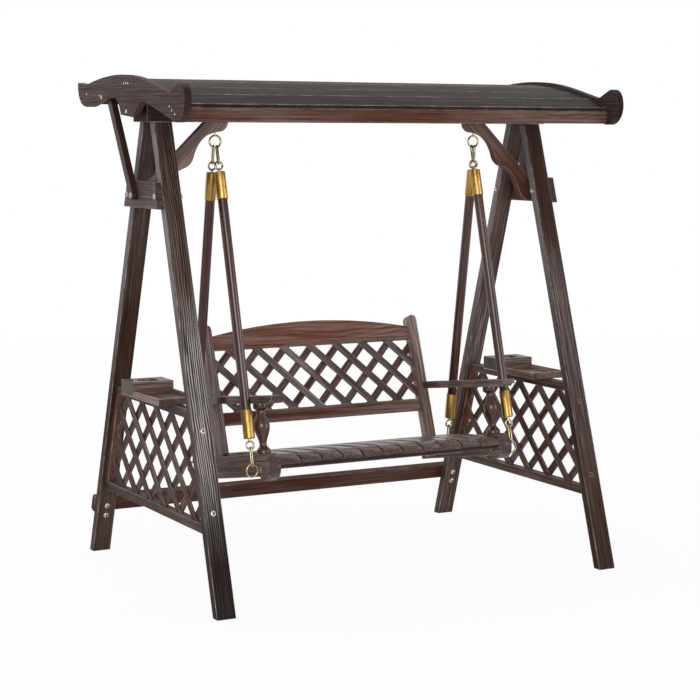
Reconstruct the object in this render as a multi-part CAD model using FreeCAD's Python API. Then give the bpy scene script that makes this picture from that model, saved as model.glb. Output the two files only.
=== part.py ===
import FreeCAD, Part
import math
import os

# Garden swing, millimetres, +Z up, +Y to the rear, origin on the floor under the middle of the beam.
# Node names end in _l for -X and _r for +X. Bolts, screws and nails are left out: pieces meet face to face.

V = FreeCAD.Vector
X_AXIS = V(1, 0, 0)
Y_AXIS = V(0, 1, 0)
Z_AXIS = V(0, 0, 1)

# Side frames: two leaning legs each, broad faces to the front and the rear.
LEG_X = 828.5
LEG_WIDE = 75.0
LEG_THICK = 37.0
LEG_LEAN = 17.92
LEG_TOP = 1762.0

# Beam on the leg tops, and the collar boards that tie each pair of legs outside.
BEAM_HIGH = 78.0
BEAM_HALF = 68.2
COLLAR_THICK = 27.0
COLLAR_DOWN = 324.0
COLLAR_HIGH = 102.0
COLLAR_INSET = 4.0

# Knee brackets, cut from board, in the middle plane of the beam. The lower edge has a lip and two coves,
# whose points are shares of the bracket's reach and drop.
KNEE_THICK = 36.0
KNEE_PAD = 96.0
KNEE_HEEL_DOWN = 231.0
KNEE_DROP = 320.0
KNEE_SOLE = 20.0
KNEE_LIP = (0.02, 0.075)
KNEE_UPPER_COVE = ((0.10, 0.11), (0.343, 0.253), (0.47, 0.51))
KNEE_LOWER_COVE = ((0.585, 0.56), (0.818, 0.731))

# Rear stretcher, flat on the rear faces of the rear legs.
STRETCHER_LOW = 168.0
STRETCHER_HIGH = 62.0
STRETCHER_THICK = 30.0
STRETCHER_OVER = 3.0

# Lattice panels between the legs of each side.
PANEL_THICK = 36.0
PANEL_TOP = 712.0
PANEL_LOW = 276.0
PANEL_RAIL = 34.0
PANEL_STILE = 20.0
SLAT_LAYER = 8.0
PANEL_PITCH = 145.0
PANEL_BAR = 32.0

# Trays on the panels, with a block for a cup at the rear.
TRAY_WIDE = 170.0
TRAY_FRONT = -220.0
TRAY_REAR = 155.0
TRAY_FLOOR = 10.0
TRAY_RIM_HIGH = 27.0
TRAY_RIM = 11.0
CUP_BLOCK_DEEP = 119.0
CUP_BLOCK_HIGH = 48.0
CUP_HOLE_R = 40.0

# Roof: two horned gable boards, boards between them, and a stay at the rear of each side.
GABLE_GAP = 25.0
GABLE_THICK = 28.0
ROOF_DROP = 13.0
ROOF_BOARDS = 8
ROOF_BOARD_THICK = 15.0
ROOF_BOARD_GAP = 5.0
FASCIA_THICK = 25.0
FASCIA_HIGH = 48.0
STAY_WIDE = 34.0
STAY_FOOT_UP = 47.0
STAY_FOOT_Y = 34.0
SPACER_R = 15.0
SPACER_Y = 6.0

# Points of the gable board as (y, height over the leg tops), from its rear horn along the top to
# its front horn, and back along the lower edge.
HORN_REAR = (521.0, 156.0)
NOTCH_REAR = (430.0, 146.0)
SLOPE_REAR = (236.0, 171.0)
RIDGE = (29.0, 177.0)
SLOPE_FRONT_HIGH = (-124.0, 162.0)
SLOPE_FRONT_LOW = (-293.0, 127.0)
NOTCH_FRONT = (-403.0, 101.0)
RISE_FRONT_LOW = (-439.0, 114.0)
RISE_FRONT_HIGH = (-470.0, 128.0)
HORN_FRONT = (-496.0, 137.0)
BROW_FRONT = (-530.0, 118.0)
NOSE_FRONT = (-543.0, 80.0)
JAW_FRONT = (-532.0, 32.0)
UNDER_FRONT = (-490.0, 0.0)
CHIN_FRONT = (-456.0, -1.0)
BELLY_FRONT_LOW = (-327.0, 34.0)
BELLY_FRONT_HIGH = (-238.0, 58.0)
ARCH_FRONT = (-160.0, 75.0)
WAIST_FRONT = (-102.0, 54.0)
LUG_FRONT = (-68.0, 16.0)
LUG_REAR = (63.0, 27.0)
WAIST_REAR = (85.0, 68.0)
ARCH_REAR = (136.0, 94.0)
BELLY_REAR_HIGH = (210.0, 90.0)
BELLY_REAR_LOW = (298.0, 77.0)
CHIN_REAR = (375.0, 62.0)
UNDER_REAR = (435.0, 60.0)
JAW_REAR = (490.0, 78.0)
NOSE_REAR = (520.0, 118.0)
STAY_HEAD = (264.0, 95.0)
FASCIA_FRONT = (-470.0, 1.0)
FASCIA_REAR = (492.0, 71.0)

# Hanger eyes under the beam, seat eyes, links and the ends of the hanging poles. To keep the count of faces
# low, bent wires, ferrules and balusters have flat sides.
HANGER_INSET = 244.5
EYE_R = 23.5
EYE_WIRE = 4.0
EYE_DROP = 74.0
EYE_BENDS = 12
LINK_OFFSET = 7.0
LINK_WIRE = 3.0
LINK_PLAY = 0.4
LINK_LONG = 57.0
LINK_BENDS = 4
POLE_EYE_R = 15.0
POLE_EYE_NECK = 10.0
POLE_EYE_BENDS = 10
POLE_R = 19.0
FERRULE_WALL = 2.5
FERRULE_LONG = 107.0
FERRULE_CAP = 4.0
FERRULE_PLAY = 0.1
FERRULE_SIDES = 24
WIRE_SIDES = 6
NUT_SIDES = 6
SHANK_R = 4.0
SHANK_PLAY = 0.15
NUT_R = 10.0
NUT_HIGH = 8.0
WASHER_R = 10.0
WASHER_THICK = 3.0

# Seat: side rails with round front ends, tipped back as it hangs.
SEAT_TILT = 10.5
RAIL_NOSE_Y = -345.0
RAIL_NOSE_Z = 490.0
RAIL_UP = 36.0
RAIL_DOWN = 50.0
RAIL_END_R = 50.5
RAIL_END_U = 15.0
RAIL_LONG = 600.0
RAIL_WIDE = 53.0
RAIL_GAP = 44.0
EYE_FRONT_U = 31.0
EYE_FRONT_W = -23.0
EYE_REAR_INSET = 52.0
EYE_REAR_W = 1.0

# Seat slats run from front to back, crowned and rolled over in front, on cross rails and battens.
SLATS = 11
SLAT_GAP = 7.0
SLAT_TOP = 46.0
SLAT_THICK = 24.0
SLAT_SHORT = 70.0
SLAT_BROW_U = 40.0
SLAT_BROW_DOWN = 16.0
SLAT_NOSE_REACH = 34.0
SLAT_NOSE_DROP = 30.0
SLAT_NOSE_LIP = 9.0
SLAT_BEND_BACK = 0.62
SLAT_BEND_DOWN = 0.33
CROSS_THICK = 28.0
CROSS_SHOW = 17.0
CROSS_REAR_INSET = 90.0
BATTEN_X = 195.0
BATTEN_WIDE = 55.0
BATTEN_THICK = 15.0

# Back: two posts with round heads, a bowed top rail, a low rail and a two-layer lattice.
BACK_LEAN = 19.5
BACK_INSET = 103.5
BACK_RISE = 92.0
POST_LAP = 27.0
POST_WIDE = 42.0
POST_DEEP = 45.0
POST_TALL = 482.0
POST_FOOT = 150.0
POST_FOOT_UP = 10.0
BACK_RAIL_THICK = 24.0
BACK_RAIL_SET = 14.0
LOW_RAIL_S = 69.0
LOW_RAIL_HIGH = 51.0
TOP_RAIL_S = 379.0
TOP_RAIL_END = 57.0
TOP_RAIL_BOW = 46.0
BACK_PITCH = 123.0
BACK_BAR = 30.0
BACK_CROSS_DOWN = 7.5
BACK_CROSS_ASIDE = -10.0

# Arms on turned balusters, whose profile swings from stop to stop in a few steps.
ARM_SLOPE = 7.7
ARM_OVERHANG = 55.0
ARM_UP = 247.0
ARM_THICK = 29.0
ARM_WIDE = 58.0
ARM_SET = 2.0
ARM_LIP = 26.0
ARM_LIP_CUT = 10.0
BALUSTER_U = 53.0
BALUSTER_BASE_R = 28.0
BALUSTER_BASE_HIGH = 8.0
BALUSTER_NECK_R = 14.0
BALUSTER_NECK_UP = 34.0
BALUSTER_BULB_R = 31.0
BALUSTER_BULB_UP = 103.0
BALUSTER_COLLAR_R = 15.0
BALUSTER_COLLAR_UP = 161.0
BALUSTER_CROWN_R = 28.0
BALUSTER_CROWN_UP = 173.0
BALUSTER_STEPS = 3
BALUSTER_SIDES = 24

# Values that follow from the sizes above.
LEG_IN = LEG_X - LEG_WIDE / 2
LEG_OUT = LEG_X + LEG_WIDE / 2
COLLAR_OUT = LEG_OUT + COLLAR_THICK
COLLAR_LOW = LEG_TOP - COLLAR_DOWN
COLLAR_TOP = COLLAR_LOW + COLLAR_HIGH
GABLE_IN = COLLAR_OUT + GABLE_GAP
GABLE_OUT = GABLE_IN + GABLE_THICK
BEAM_TOP = LEG_TOP + BEAM_HIGH
HANGER_X = LEG_X - HANGER_INSET
EYE_Z = LEG_TOP - EYE_DROP
LINK_R = EYE_WIRE + LINK_PLAY + LINK_WIRE
SWING_Z = EYE_Z - math.sqrt(EYE_R ** 2 - LINK_OFFSET ** 2)
POLE_FRONT_X = HANGER_X - LINK_OFFSET
POLE_REAR_X = HANGER_X + LINK_OFFSET
RAIL_OUT = HANGER_X - RAIL_GAP
RAIL_IN = RAIL_OUT - RAIL_WIDE
RAIL_MID = (RAIL_IN + RAIL_OUT) / 2
SLAT_LONG = RAIL_LONG - SLAT_SHORT
POST_IN = RAIL_IN - POST_LAP
POST_OUT = POST_IN + POST_WIDE
ARM_OUT = RAIL_OUT - ARM_SET
ARM_IN = ARM_OUT - ARM_WIDE
ARM_FRONT_Y = RAIL_NOSE_Y - ARM_OVERHANG
ARM_FRONT_Z = RAIL_NOSE_Z + ARM_UP


def sin(deg):
    return math.sin(math.radians(deg))


def cos(deg):
    return math.cos(math.radians(deg))


def tan(deg):
    return math.tan(math.radians(deg))


def leg_face(z):
    """Distance from the middle to the outer face of a leg at height z."""
    return BEAM_HALF + (LEG_TOP - z) * tan(LEG_LEAN)


def leg_inside(z):
    """Distance from the middle to the inner face of a leg at height z."""
    return leg_face(z) - LEG_THICK / cos(LEG_LEAN)


def roof_yz(point):
    """Roof point: its height is counted from the leg tops."""
    return (point[0], LEG_TOP + point[1])


def seat_yz(u, w):
    """Seat plane: u runs back along the rail from the nose, w stands square to it."""
    y = RAIL_NOSE_Y + u * cos(SEAT_TILT) + w * sin(SEAT_TILT)
    z = RAIL_NOSE_Z - u * sin(SEAT_TILT) + w * cos(SEAT_TILT)
    return (y, z)


BACK_FOOT = seat_yz(RAIL_LONG - BACK_INSET, BACK_RISE)


def back_yz(s, n):
    """Back plane: s runs up the front faces of the posts, n goes in from there to the rear."""
    y = BACK_FOOT[0] + s * sin(BACK_LEAN) + n * cos(BACK_LEAN)
    z = BACK_FOOT[1] + s * cos(BACK_LEAN) - n * sin(BACK_LEAN)
    return (y, z)


def back_point(x, s, n):
    y, z = back_yz(s, n)
    return V(x, y, z)


def arm_yz(a, h):
    """Arm: a runs back from its front end, h stands square to its middle line."""
    y = ARM_FRONT_Y + a * cos(ARM_SLOPE) + h * sin(ARM_SLOPE)
    z = ARM_FRONT_Z - a * sin(ARM_SLOPE) + h * cos(ARM_SLOPE)
    return (y, z)


def box(x0, x1, y0, y1, z0, z1):
    return Part.makeBox(x1 - x0, y1 - y0, z1 - z0, V(x0, y0, z0))


def ring_of(points):
    return Part.Face(Part.makePolygon(points + [points[0]]))


def prism_x(points, x0, x1):
    """Straight-sided outline in the YZ plane, carried along X."""
    return ring_of([V(x0, y, z) for y, z in points]).extrude(V(x1 - x0, 0, 0))


def line_x(a, b, x):
    return Part.makeLine(V(x, a[0], a[1]), V(x, b[0], b[1]))


def curve_x(points, x):
    spline = Part.BSplineCurve()
    spline.interpolate([V(x, y, z) for y, z in points])
    return spline.toShape()


def arc_x(a, b, c, x):
    return Part.Arc(V(x, a[0], a[1]), V(x, b[0], b[1]), V(x, c[0], c[1])).toShape()


def solid_x(edges, x0, x1):
    return Part.Face(Part.Wire(edges)).extrude(V(x1 - x0, 0, 0))


def bar(start, along, long, r):
    return Part.makeCylinder(r, long, start, along)


def corner_angles(sides):
    return [360.0 * (k + 0.5) / sides for k in range(sides)]


def rod(start, run, across, r, sides):
    """Straight bar with flat sides: run is its direction and length, across is square to it."""
    other = run.cross(across).normalize()
    corners = [start + across * (r * cos(t)) + other * (r * sin(t)) for t in corner_angles(sides)]
    return ring_of(corners).extrude(run)


def band_faces(sections):
    """Flat faces between each section and the next; all have the same count of corners."""
    faces = []
    for a, b in zip(sections, sections[1:]):
        faces += [ring_of([a[k - 1], a[k], b[k], b[k - 1]]) for k in range(len(a))]
    return faces


def wire_loop(path, normal, r):
    """Closed wire along a flat path, with flat sides and mitred corners."""
    sections = []
    for i in range(len(path)):
        before = (path[i] - path[i - 1]).normalize().cross(normal)
        after = (path[(i + 1) % len(path)] - path[i]).normalize().cross(normal)
        both = before + after
        out = both * (2 / both.dot(both))
        sections.append([path[i] + out * (r * cos(t)) + normal * (r * sin(t))
                         for t in corner_angles(WIRE_SIDES)])
    return Part.Solid(Part.Shell(band_faces(sections[-1:] + sections)))


def turned(profile, sides):
    """Turned piece on the Z axis with flat sides, from the radii and heights of its profile."""
    sections = [[V(r * cos(t), r * sin(t), h) for t in corner_angles(sides)] for r, h in profile]
    return Part.Solid(Part.Shell(band_faces(sections) + [ring_of(sections[0]), ring_of(sections[-1])]))


def wire_ring(mid, right, up, r, wire, bends, turn):
    """Wire ring whose sides touch the circle of radius r; turn is the share of a bend to start from."""
    steps = [360.0 * (k + turn) / bends for k in range(bends)]
    reach = r / cos(180.0 / bends)
    path = [mid + right * (reach * cos(t)) + up * (reach * sin(t)) for t in steps]
    return wire_loop(path, right.cross(up), wire)


def link(start, end):
    """Closed oval link in a plane of constant X, its two bends centred on start and end."""
    along = (end - start).normalize()
    flank = X_AXIS.cross(along)
    reach = LINK_R / cos(90.0 / LINK_BENDS)
    steps = [90.0 - 180.0 * (k + 0.5) / LINK_BENDS for k in range(LINK_BENDS)]
    path = []
    for mid, out, side in ((start, -along, flank), (end, along, -flank)):
        path += [mid + out * (reach * cos(t)) + side * (reach * sin(t)) for t in steps]
    return wire_loop(path, X_AXIS, LINK_WIRE)


def mirrored(shape):
    return shape.mirror(V(0, 0, 0), X_AXIS)


def together(shapes):
    return Part.makeCompound(shapes)


def with_mirror(shapes):
    return together(shapes + [mirrored(s) for s in shapes])


def fused(shapes):
    return shapes[0].multiFuse(shapes[1:]).removeSplitter()


def save(name, shape):
    shape.exportStep("parts/" + name + ".step")


def save_pair(name, shape):
    save(name + "_r", shape)
    save(name + "_l", mirrored(shape))


def shoelace(points):
    total = 0.0
    for i in range(len(points)):
        p0, q0 = points[i - 1]
        p1, q1 = points[i]
        total += p0 * q1 - p1 * q0
    return abs(total) / 2


def clipped(points, a, b, limit):
    """Part of a flat outline where a*p + b*q stays under the limit."""
    kept = []
    for i in range(len(points)):
        here = points[i]
        after = points[(i + 1) % len(points)]
        d_here = a * here[0] + b * here[1] - limit
        d_after = a * after[0] + b * after[1] - limit
        if d_here <= 0:
            kept.append(here)
        if d_here * d_after < 0:
            t = d_here / (d_here - d_after)
            kept.append((here[0] + t * (after[0] - here[0]), here[1] + t * (after[1] - here[1])))
    return kept


def lattice_bars(opening, pitch, wide, lean, node):
    """Outlines of slanting bars that fill a convex opening given anticlockwise.

    lean is +1 for bars that rise along p and -1 for bars that fall; the bars cross at node.
    """
    reach = 2 * max(abs(p) + abs(q) for p, q in opening)
    half = wide / math.sqrt(2)
    count = int(reach / pitch)
    bars = []
    for k in range(-count, count + 1):
        p = node[0] + k * pitch
        q = node[1]
        strip = [(p - reach - half, q - lean * reach), (p - reach + half, q - lean * reach),
                 (p + reach + half, q + lean * reach), (p + reach - half, q + lean * reach)]
        for i in range(len(opening)):
            p0, q0 = opening[i]
            p1, q1 = opening[(i + 1) % len(opening)]
            if strip:
                strip = clipped(strip, q1 - q0, p0 - p1, (q1 - q0) * p0 + (p0 - p1) * q0)
        if len(strip) > 2 and shoelace(strip) > wide * wide / 2:
            bars.append(strip)
    return bars


os.makedirs("parts", exist_ok=True)

# Legs, collar boards and beam.
LEG_OUTLINE = [(leg_face(0), 0.0), (leg_face(LEG_TOP), LEG_TOP),
               (leg_inside(LEG_TOP), LEG_TOP), (leg_inside(0), 0.0)]
save_pair("leg_rear", prism_x(LEG_OUTLINE, LEG_IN, LEG_OUT))
save_pair("leg_front", prism_x([(-y, z) for y, z in LEG_OUTLINE], LEG_IN, LEG_OUT))

collar_low_y = leg_face(COLLAR_LOW) - COLLAR_INSET
collar_top_y = leg_face(COLLAR_TOP) - COLLAR_INSET
collar_outline = [(-collar_low_y, COLLAR_LOW), (collar_low_y, COLLAR_LOW),
                  (collar_top_y, COLLAR_TOP), (-collar_top_y, COLLAR_TOP)]
save_pair("collar_board", prism_x(collar_outline, LEG_OUT, COLLAR_OUT))

hanger_bore = rod(V(HANGER_X, 0, EYE_Z), V(0, 0, BEAM_TOP - EYE_Z), X_AXIS, SHANK_R + SHANK_PLAY, WIRE_SIDES)
beam = box(-COLLAR_OUT, COLLAR_OUT, -BEAM_HALF, BEAM_HALF, LEG_TOP, BEAM_TOP)
save("top_beam", beam.cut(hanger_bore).cut(mirrored(hanger_bore)))

# Knee bracket in the XZ plane: straight upper edge, two lobes along the lower edge.
knee_start = V(HANGER_X - KNEE_PAD / 2, -KNEE_THICK / 2, LEG_TOP)
knee_reach = LEG_OUT - knee_start.x
knee_crest = knee_start + V(KNEE_PAD, 0, 0)
knee_heel = knee_start + V(knee_reach, 0, -KNEE_HEEL_DOWN)
knee_toe = knee_start + V(knee_reach, 0, -KNEE_DROP)
knee_sole = knee_toe - V(KNEE_SOLE, 0, 0)


def knee_point(shares):
    return knee_start + V(shares[0] * knee_reach, 0, -shares[1] * KNEE_DROP)


knee_lip = knee_point(KNEE_LIP)
upper_cove = [knee_point(shares) for shares in KNEE_UPPER_COVE]
lower_cove = [knee_point(shares) for shares in KNEE_LOWER_COVE] + [knee_sole]
knee_edges = [Part.makeLine(knee_start, knee_lip), Part.makeLine(knee_lip, upper_cove[0]),
              Part.Arc(*upper_cove).toShape(), Part.makeLine(upper_cove[-1], lower_cove[0]),
              Part.Arc(*lower_cove).toShape(), Part.makeLine(knee_sole, knee_toe),
              Part.makeLine(knee_toe, knee_heel), Part.makeLine(knee_heel, knee_crest),
              Part.makeLine(knee_crest, knee_start)]
knee = Part.Face(Part.Wire(knee_edges)).extrude(V(0, KNEE_THICK, 0))
save_pair("knee_bracket", knee.cut(hanger_bore))

STRETCHER_TOP = STRETCHER_LOW + STRETCHER_HIGH
back_y = STRETCHER_THICK * cos(LEG_LEAN)
back_z = STRETCHER_THICK * sin(LEG_LEAN)
stretcher_end = LEG_OUT + STRETCHER_OVER
stretcher_outline = [(leg_face(STRETCHER_LOW), STRETCHER_LOW), (leg_face(STRETCHER_TOP), STRETCHER_TOP),
                     (leg_face(STRETCHER_TOP) + back_y, STRETCHER_TOP + back_z),
                     (leg_face(STRETCHER_LOW) + back_y, STRETCHER_LOW + back_z)]
save("rear_stretcher", prism_x(stretcher_outline, -stretcher_end, stretcher_end))

# Lattice panel of a side: rails and stiles fill the legs, the bars fill the rails and stiles.
PANEL_IN = LEG_X - PANEL_THICK / 2
PANEL_OUT = LEG_X + PANEL_THICK / 2
OPEN_LOW = PANEL_LOW + PANEL_RAIL
OPEN_HIGH = PANEL_TOP - PANEL_RAIL


def panel_rail(low):
    high = low + PANEL_RAIL
    return prism_x([(-leg_inside(low), low), (leg_inside(low), low),
                    (leg_inside(high), high), (-leg_inside(high), high)], PANEL_IN, PANEL_OUT)


def panel_stile(side):
    return prism_x([(side * leg_inside(OPEN_LOW), OPEN_LOW), (side * leg_inside(OPEN_HIGH), OPEN_HIGH),
                    (side * (leg_inside(OPEN_HIGH) - PANEL_STILE), OPEN_HIGH),
                    (side * (leg_inside(OPEN_LOW) - PANEL_STILE), OPEN_LOW)], PANEL_IN, PANEL_OUT)


save_pair("panel_top_rail", panel_rail(OPEN_HIGH))
save_pair("panel_low_rail", panel_rail(PANEL_LOW))
save_pair("panel_stiles", together([panel_stile(-1), panel_stile(1)]))

low_half = leg_inside(OPEN_LOW) - PANEL_STILE
high_half = leg_inside(OPEN_HIGH) - PANEL_STILE
panel_opening = [(-low_half, OPEN_LOW), (low_half, OPEN_LOW), (high_half, OPEN_HIGH), (-high_half, OPEN_HIGH)]
for lean, name, x in ((1, "panel_bars_near", -SLAT_LAYER), (-1, "panel_bars_far", 0.0)):
    outlines = lattice_bars(panel_opening, PANEL_PITCH, PANEL_BAR, lean, (0.0, OPEN_HIGH))
    for middle, end in ((-LEG_X, "_l"), (LEG_X, "_r")):
        save(name + end, together([prism_x(o, middle + x, middle + x + SLAT_LAYER) for o in outlines]))

# Trays and cup blocks.
TRAY_IN = LEG_X - TRAY_WIDE / 2
TRAY_OUT = LEG_X + TRAY_WIDE / 2
TRAY_SEAT = PANEL_TOP + TRAY_FLOOR
TRAY_TOP = PANEL_TOP + TRAY_RIM_HIGH
BLOCK_FRONT = TRAY_REAR - CUP_BLOCK_DEEP
tray = box(TRAY_IN, TRAY_OUT, TRAY_FRONT, TRAY_REAR, PANEL_TOP, TRAY_TOP)
tray = tray.cut(box(TRAY_IN, TRAY_OUT, BLOCK_FRONT, TRAY_REAR, TRAY_SEAT, TRAY_TOP))
tray = tray.cut(box(TRAY_IN + TRAY_RIM, TRAY_OUT - TRAY_RIM, TRAY_FRONT + TRAY_RIM, BLOCK_FRONT,
                    TRAY_SEAT, TRAY_TOP))
cup_block = box(TRAY_IN, TRAY_OUT, BLOCK_FRONT, TRAY_REAR, TRAY_SEAT, TRAY_SEAT + CUP_BLOCK_HIGH)
cup_hole = bar(V(LEG_X, BLOCK_FRONT + CUP_BLOCK_DEEP / 2, TRAY_SEAT), Z_AXIS, CUP_BLOCK_HIGH, CUP_HOLE_R)
save_pair("side_tray", tray)
save_pair("cup_block", cup_block.cut(cup_hole))

# Gable boards.
RIDGE_CURVE = [NOTCH_REAR, SLOPE_REAR, RIDGE, SLOPE_FRONT_HIGH, SLOPE_FRONT_LOW, NOTCH_FRONT]
GABLE_CURVES = [RIDGE_CURVE,
                [NOTCH_FRONT, RISE_FRONT_LOW, RISE_FRONT_HIGH, HORN_FRONT],
                [HORN_FRONT, BROW_FRONT, NOSE_FRONT, JAW_FRONT, UNDER_FRONT, CHIN_FRONT],
                [CHIN_FRONT, BELLY_FRONT_LOW, BELLY_FRONT_HIGH, ARCH_FRONT],
                [ARCH_REAR, BELLY_REAR_HIGH, BELLY_REAR_LOW, CHIN_REAR],
                [CHIN_REAR, UNDER_REAR, JAW_REAR, NOSE_REAR, HORN_REAR]]
GABLE_ARCS = [[ARCH_FRONT, WAIST_FRONT, LUG_FRONT], [LUG_REAR, WAIST_REAR, ARCH_REAR]]
GABLE_LINES = [[LUG_FRONT, LUG_REAR], [HORN_REAR, NOTCH_REAR]]
gable_edges = [curve_x([roof_yz(p) for p in points], GABLE_IN) for points in GABLE_CURVES]
gable_edges += [arc_x(*[roof_yz(p) for p in points], GABLE_IN) for points in GABLE_ARCS]
gable_edges += [line_x(*[roof_yz(p) for p in points], GABLE_IN) for points in GABLE_LINES]
gable_face = Part.Face(Part.Wire(Part.__sortEdges__(gable_edges)))
save_pair("gable_board", gable_face.extrude(V(GABLE_THICK, 0, 0)))

# The roof boards lie along a line just under the ridge curve, down to the tops of the two fascias.
fascia_front_y, fascia_front_z = roof_yz(FASCIA_FRONT)
fascia_rear_y, fascia_rear_z = roof_yz(FASCIA_REAR)
eave_front = (fascia_front_y, fascia_front_z + FASCIA_HIGH + ROOF_BOARD_THICK)
eave_rear = (fascia_rear_y, fascia_rear_z + FASCIA_HIGH + ROOF_BOARD_THICK)
roof_top = [(y, z - ROOF_DROP) for y, z in map(roof_yz, RIDGE_CURVE)]
roof_line = curve_x([eave_rear] + roof_top + [eave_front], -GABLE_IN)
roof_step = roof_line.Length / ROOF_BOARDS


def roof_board(i):
    head = roof_line.valueAt(roof_line.getParameterByLength(i * roof_step + ROOF_BOARD_GAP / 2))
    foot = roof_line.valueAt(roof_line.getParameterByLength((i + 1) * roof_step - ROOF_BOARD_GAP / 2))
    under = X_AXIS.cross(foot - head).normalize() * ROOF_BOARD_THICK
    return ring_of([head, foot, foot + under, head + under]).extrude(V(2 * GABLE_IN, 0, 0))


roof_boards = together([roof_board(i) for i in range(ROOF_BOARDS)])
save("roof_boards", roof_boards)
fascia_front = box(-GABLE_IN, GABLE_IN, fascia_front_y, fascia_front_y + FASCIA_THICK,
                   fascia_front_z, fascia_front_z + FASCIA_HIGH)
fascia_rear = box(-GABLE_IN, GABLE_IN, fascia_rear_y - FASCIA_THICK, fascia_rear_y,
                  fascia_rear_z, fascia_rear_z + FASCIA_HIGH)
save("fascia_front", fascia_front.cut(roof_boards))
save("fascia_rear", fascia_rear.cut(roof_boards))

# Stay at the rear of each gable, and the spacer between the beam's end and the gable's lug.
stay_a = V(COLLAR_OUT, STAY_FOOT_Y, COLLAR_LOW + STAY_FOOT_UP)
stay_b = V(COLLAR_OUT, *roof_yz(STAY_HEAD))
stay_tip = (stay_b - stay_a).normalize() * (STAY_WIDE / 2)
stay_side = X_AXIS.cross(stay_tip)
stay_edges = [Part.Arc(stay_a + stay_side, stay_a - stay_tip, stay_a - stay_side).toShape(),
              Part.makeLine(stay_a - stay_side, stay_b - stay_side),
              Part.Arc(stay_b - stay_side, stay_b + stay_tip, stay_b + stay_side).toShape(),
              Part.makeLine(stay_b + stay_side, stay_a + stay_side)]
save_pair("roof_stay", solid_x(stay_edges, COLLAR_OUT, GABLE_IN))
spacer = bar(V(COLLAR_OUT, SPACER_Y, LEG_TOP + BEAM_HIGH / 2), X_AXIS, GABLE_GAP, SPACER_R)
save("roof_spacers", with_mirror([spacer]))

# Hanger eyes, with the shank up through the bracket and the beam to a nut.
hanger_ring = wire_ring(V(HANGER_X, 0, EYE_Z), X_AXIS, Z_AXIS, EYE_R, EYE_WIRE, EYE_BENDS, 0.0)
shank_long = BEAM_TOP - EYE_Z - EYE_R
hanger_shank = rod(V(HANGER_X, 0, EYE_Z + EYE_R), V(0, 0, shank_long), X_AXIS, SHANK_R, WIRE_SIDES)
hanger_nut = rod(V(HANGER_X, 0, BEAM_TOP), V(0, 0, NUT_HIGH), X_AXIS, NUT_R, NUT_SIDES)
save_pair("hanger_eye", fused([hanger_ring, hanger_shank, hanger_nut]))

# Seat rails, bored for the eyes.
eye_front = seat_yz(EYE_FRONT_U, EYE_FRONT_W)
eye_rear = seat_yz(RAIL_LONG - EYE_REAR_INSET, EYE_REAR_W)
end_w = RAIL_UP - RAIL_END_R
heel_u = RAIL_END_U + math.sqrt(RAIL_END_R ** 2 - (RAIL_DOWN + end_w) ** 2)
end_top = seat_yz(RAIL_END_U, RAIL_UP)
end_heel = seat_yz(heel_u, -RAIL_DOWN)
rail_edges = [arc_x(end_top, seat_yz(RAIL_END_U - RAIL_END_R, end_w), end_heel, RAIL_IN),
              line_x(end_heel, seat_yz(RAIL_LONG, -RAIL_DOWN), RAIL_IN),
              line_x(seat_yz(RAIL_LONG, -RAIL_DOWN), seat_yz(RAIL_LONG, RAIL_UP), RAIL_IN),
              line_x(seat_yz(RAIL_LONG, RAIL_UP), end_top, RAIL_IN)]
rail_blank = solid_x(rail_edges, RAIL_IN, RAIL_OUT)
rail = rail_blank
for y, z in (eye_front, eye_rear):
    rail = rail.cut(rod(V(RAIL_IN, y, z), V(RAIL_WIDE, 0, 0), Z_AXIS, SHANK_R + SHANK_PLAY, WIRE_SIDES))
save_pair("seat_rail", rail)

# Back posts, notched over the rails.
BACK_IN = V(0, cos(BACK_LEAN), -sin(BACK_LEAN))
head_r = POST_WIDE / 2
foot_in = back_point(POST_IN, -POST_FOOT, 0)
foot_out = back_point(POST_OUT, -POST_FOOT, 0)
neck_in = back_point(POST_IN, POST_TALL - head_r, 0)
neck_out = back_point(POST_OUT, POST_TALL - head_r, 0)
crown = back_point(POST_IN + head_r, POST_TALL, 0)
post_edges = [Part.makeLine(foot_in, foot_out), Part.makeLine(foot_out, neck_out),
              Part.Arc(neck_out, crown, neck_in).toShape(), Part.makeLine(neck_in, foot_in)]
post = Part.Face(Part.Wire(post_edges)).extrude(BACK_IN * POST_DEEP)
foot_w = POST_FOOT_UP - RAIL_DOWN
below_foot = prism_x([seat_yz(0, foot_w), seat_yz(RAIL_LONG, foot_w),
                      seat_yz(RAIL_LONG, foot_w - RAIL_LONG), seat_yz(0, foot_w - RAIL_LONG)], 0.0, RAIL_OUT)
post = post.cut(below_foot).cut(rail_blank)
save_pair("back_post", post)

# Back rails and lattice, in the plane of the posts.
RAIL_REAR = BACK_RAIL_SET + BACK_RAIL_THICK
BARS_MID = BACK_RAIL_SET + BACK_RAIL_THICK / 2
LOW_RAIL_TOP = LOW_RAIL_S + LOW_RAIL_HIGH
TOP_RAIL_SHOULDER = TOP_RAIL_S + TOP_RAIL_END


def back_prism(points, n0, n1):
    return ring_of([back_point(x, s, n0) for x, s in points]).extrude(BACK_IN * (n1 - n0))


def back_front(x, s):
    """Point on the front face of the back rails."""
    return back_point(x, s, BACK_RAIL_SET)


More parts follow.
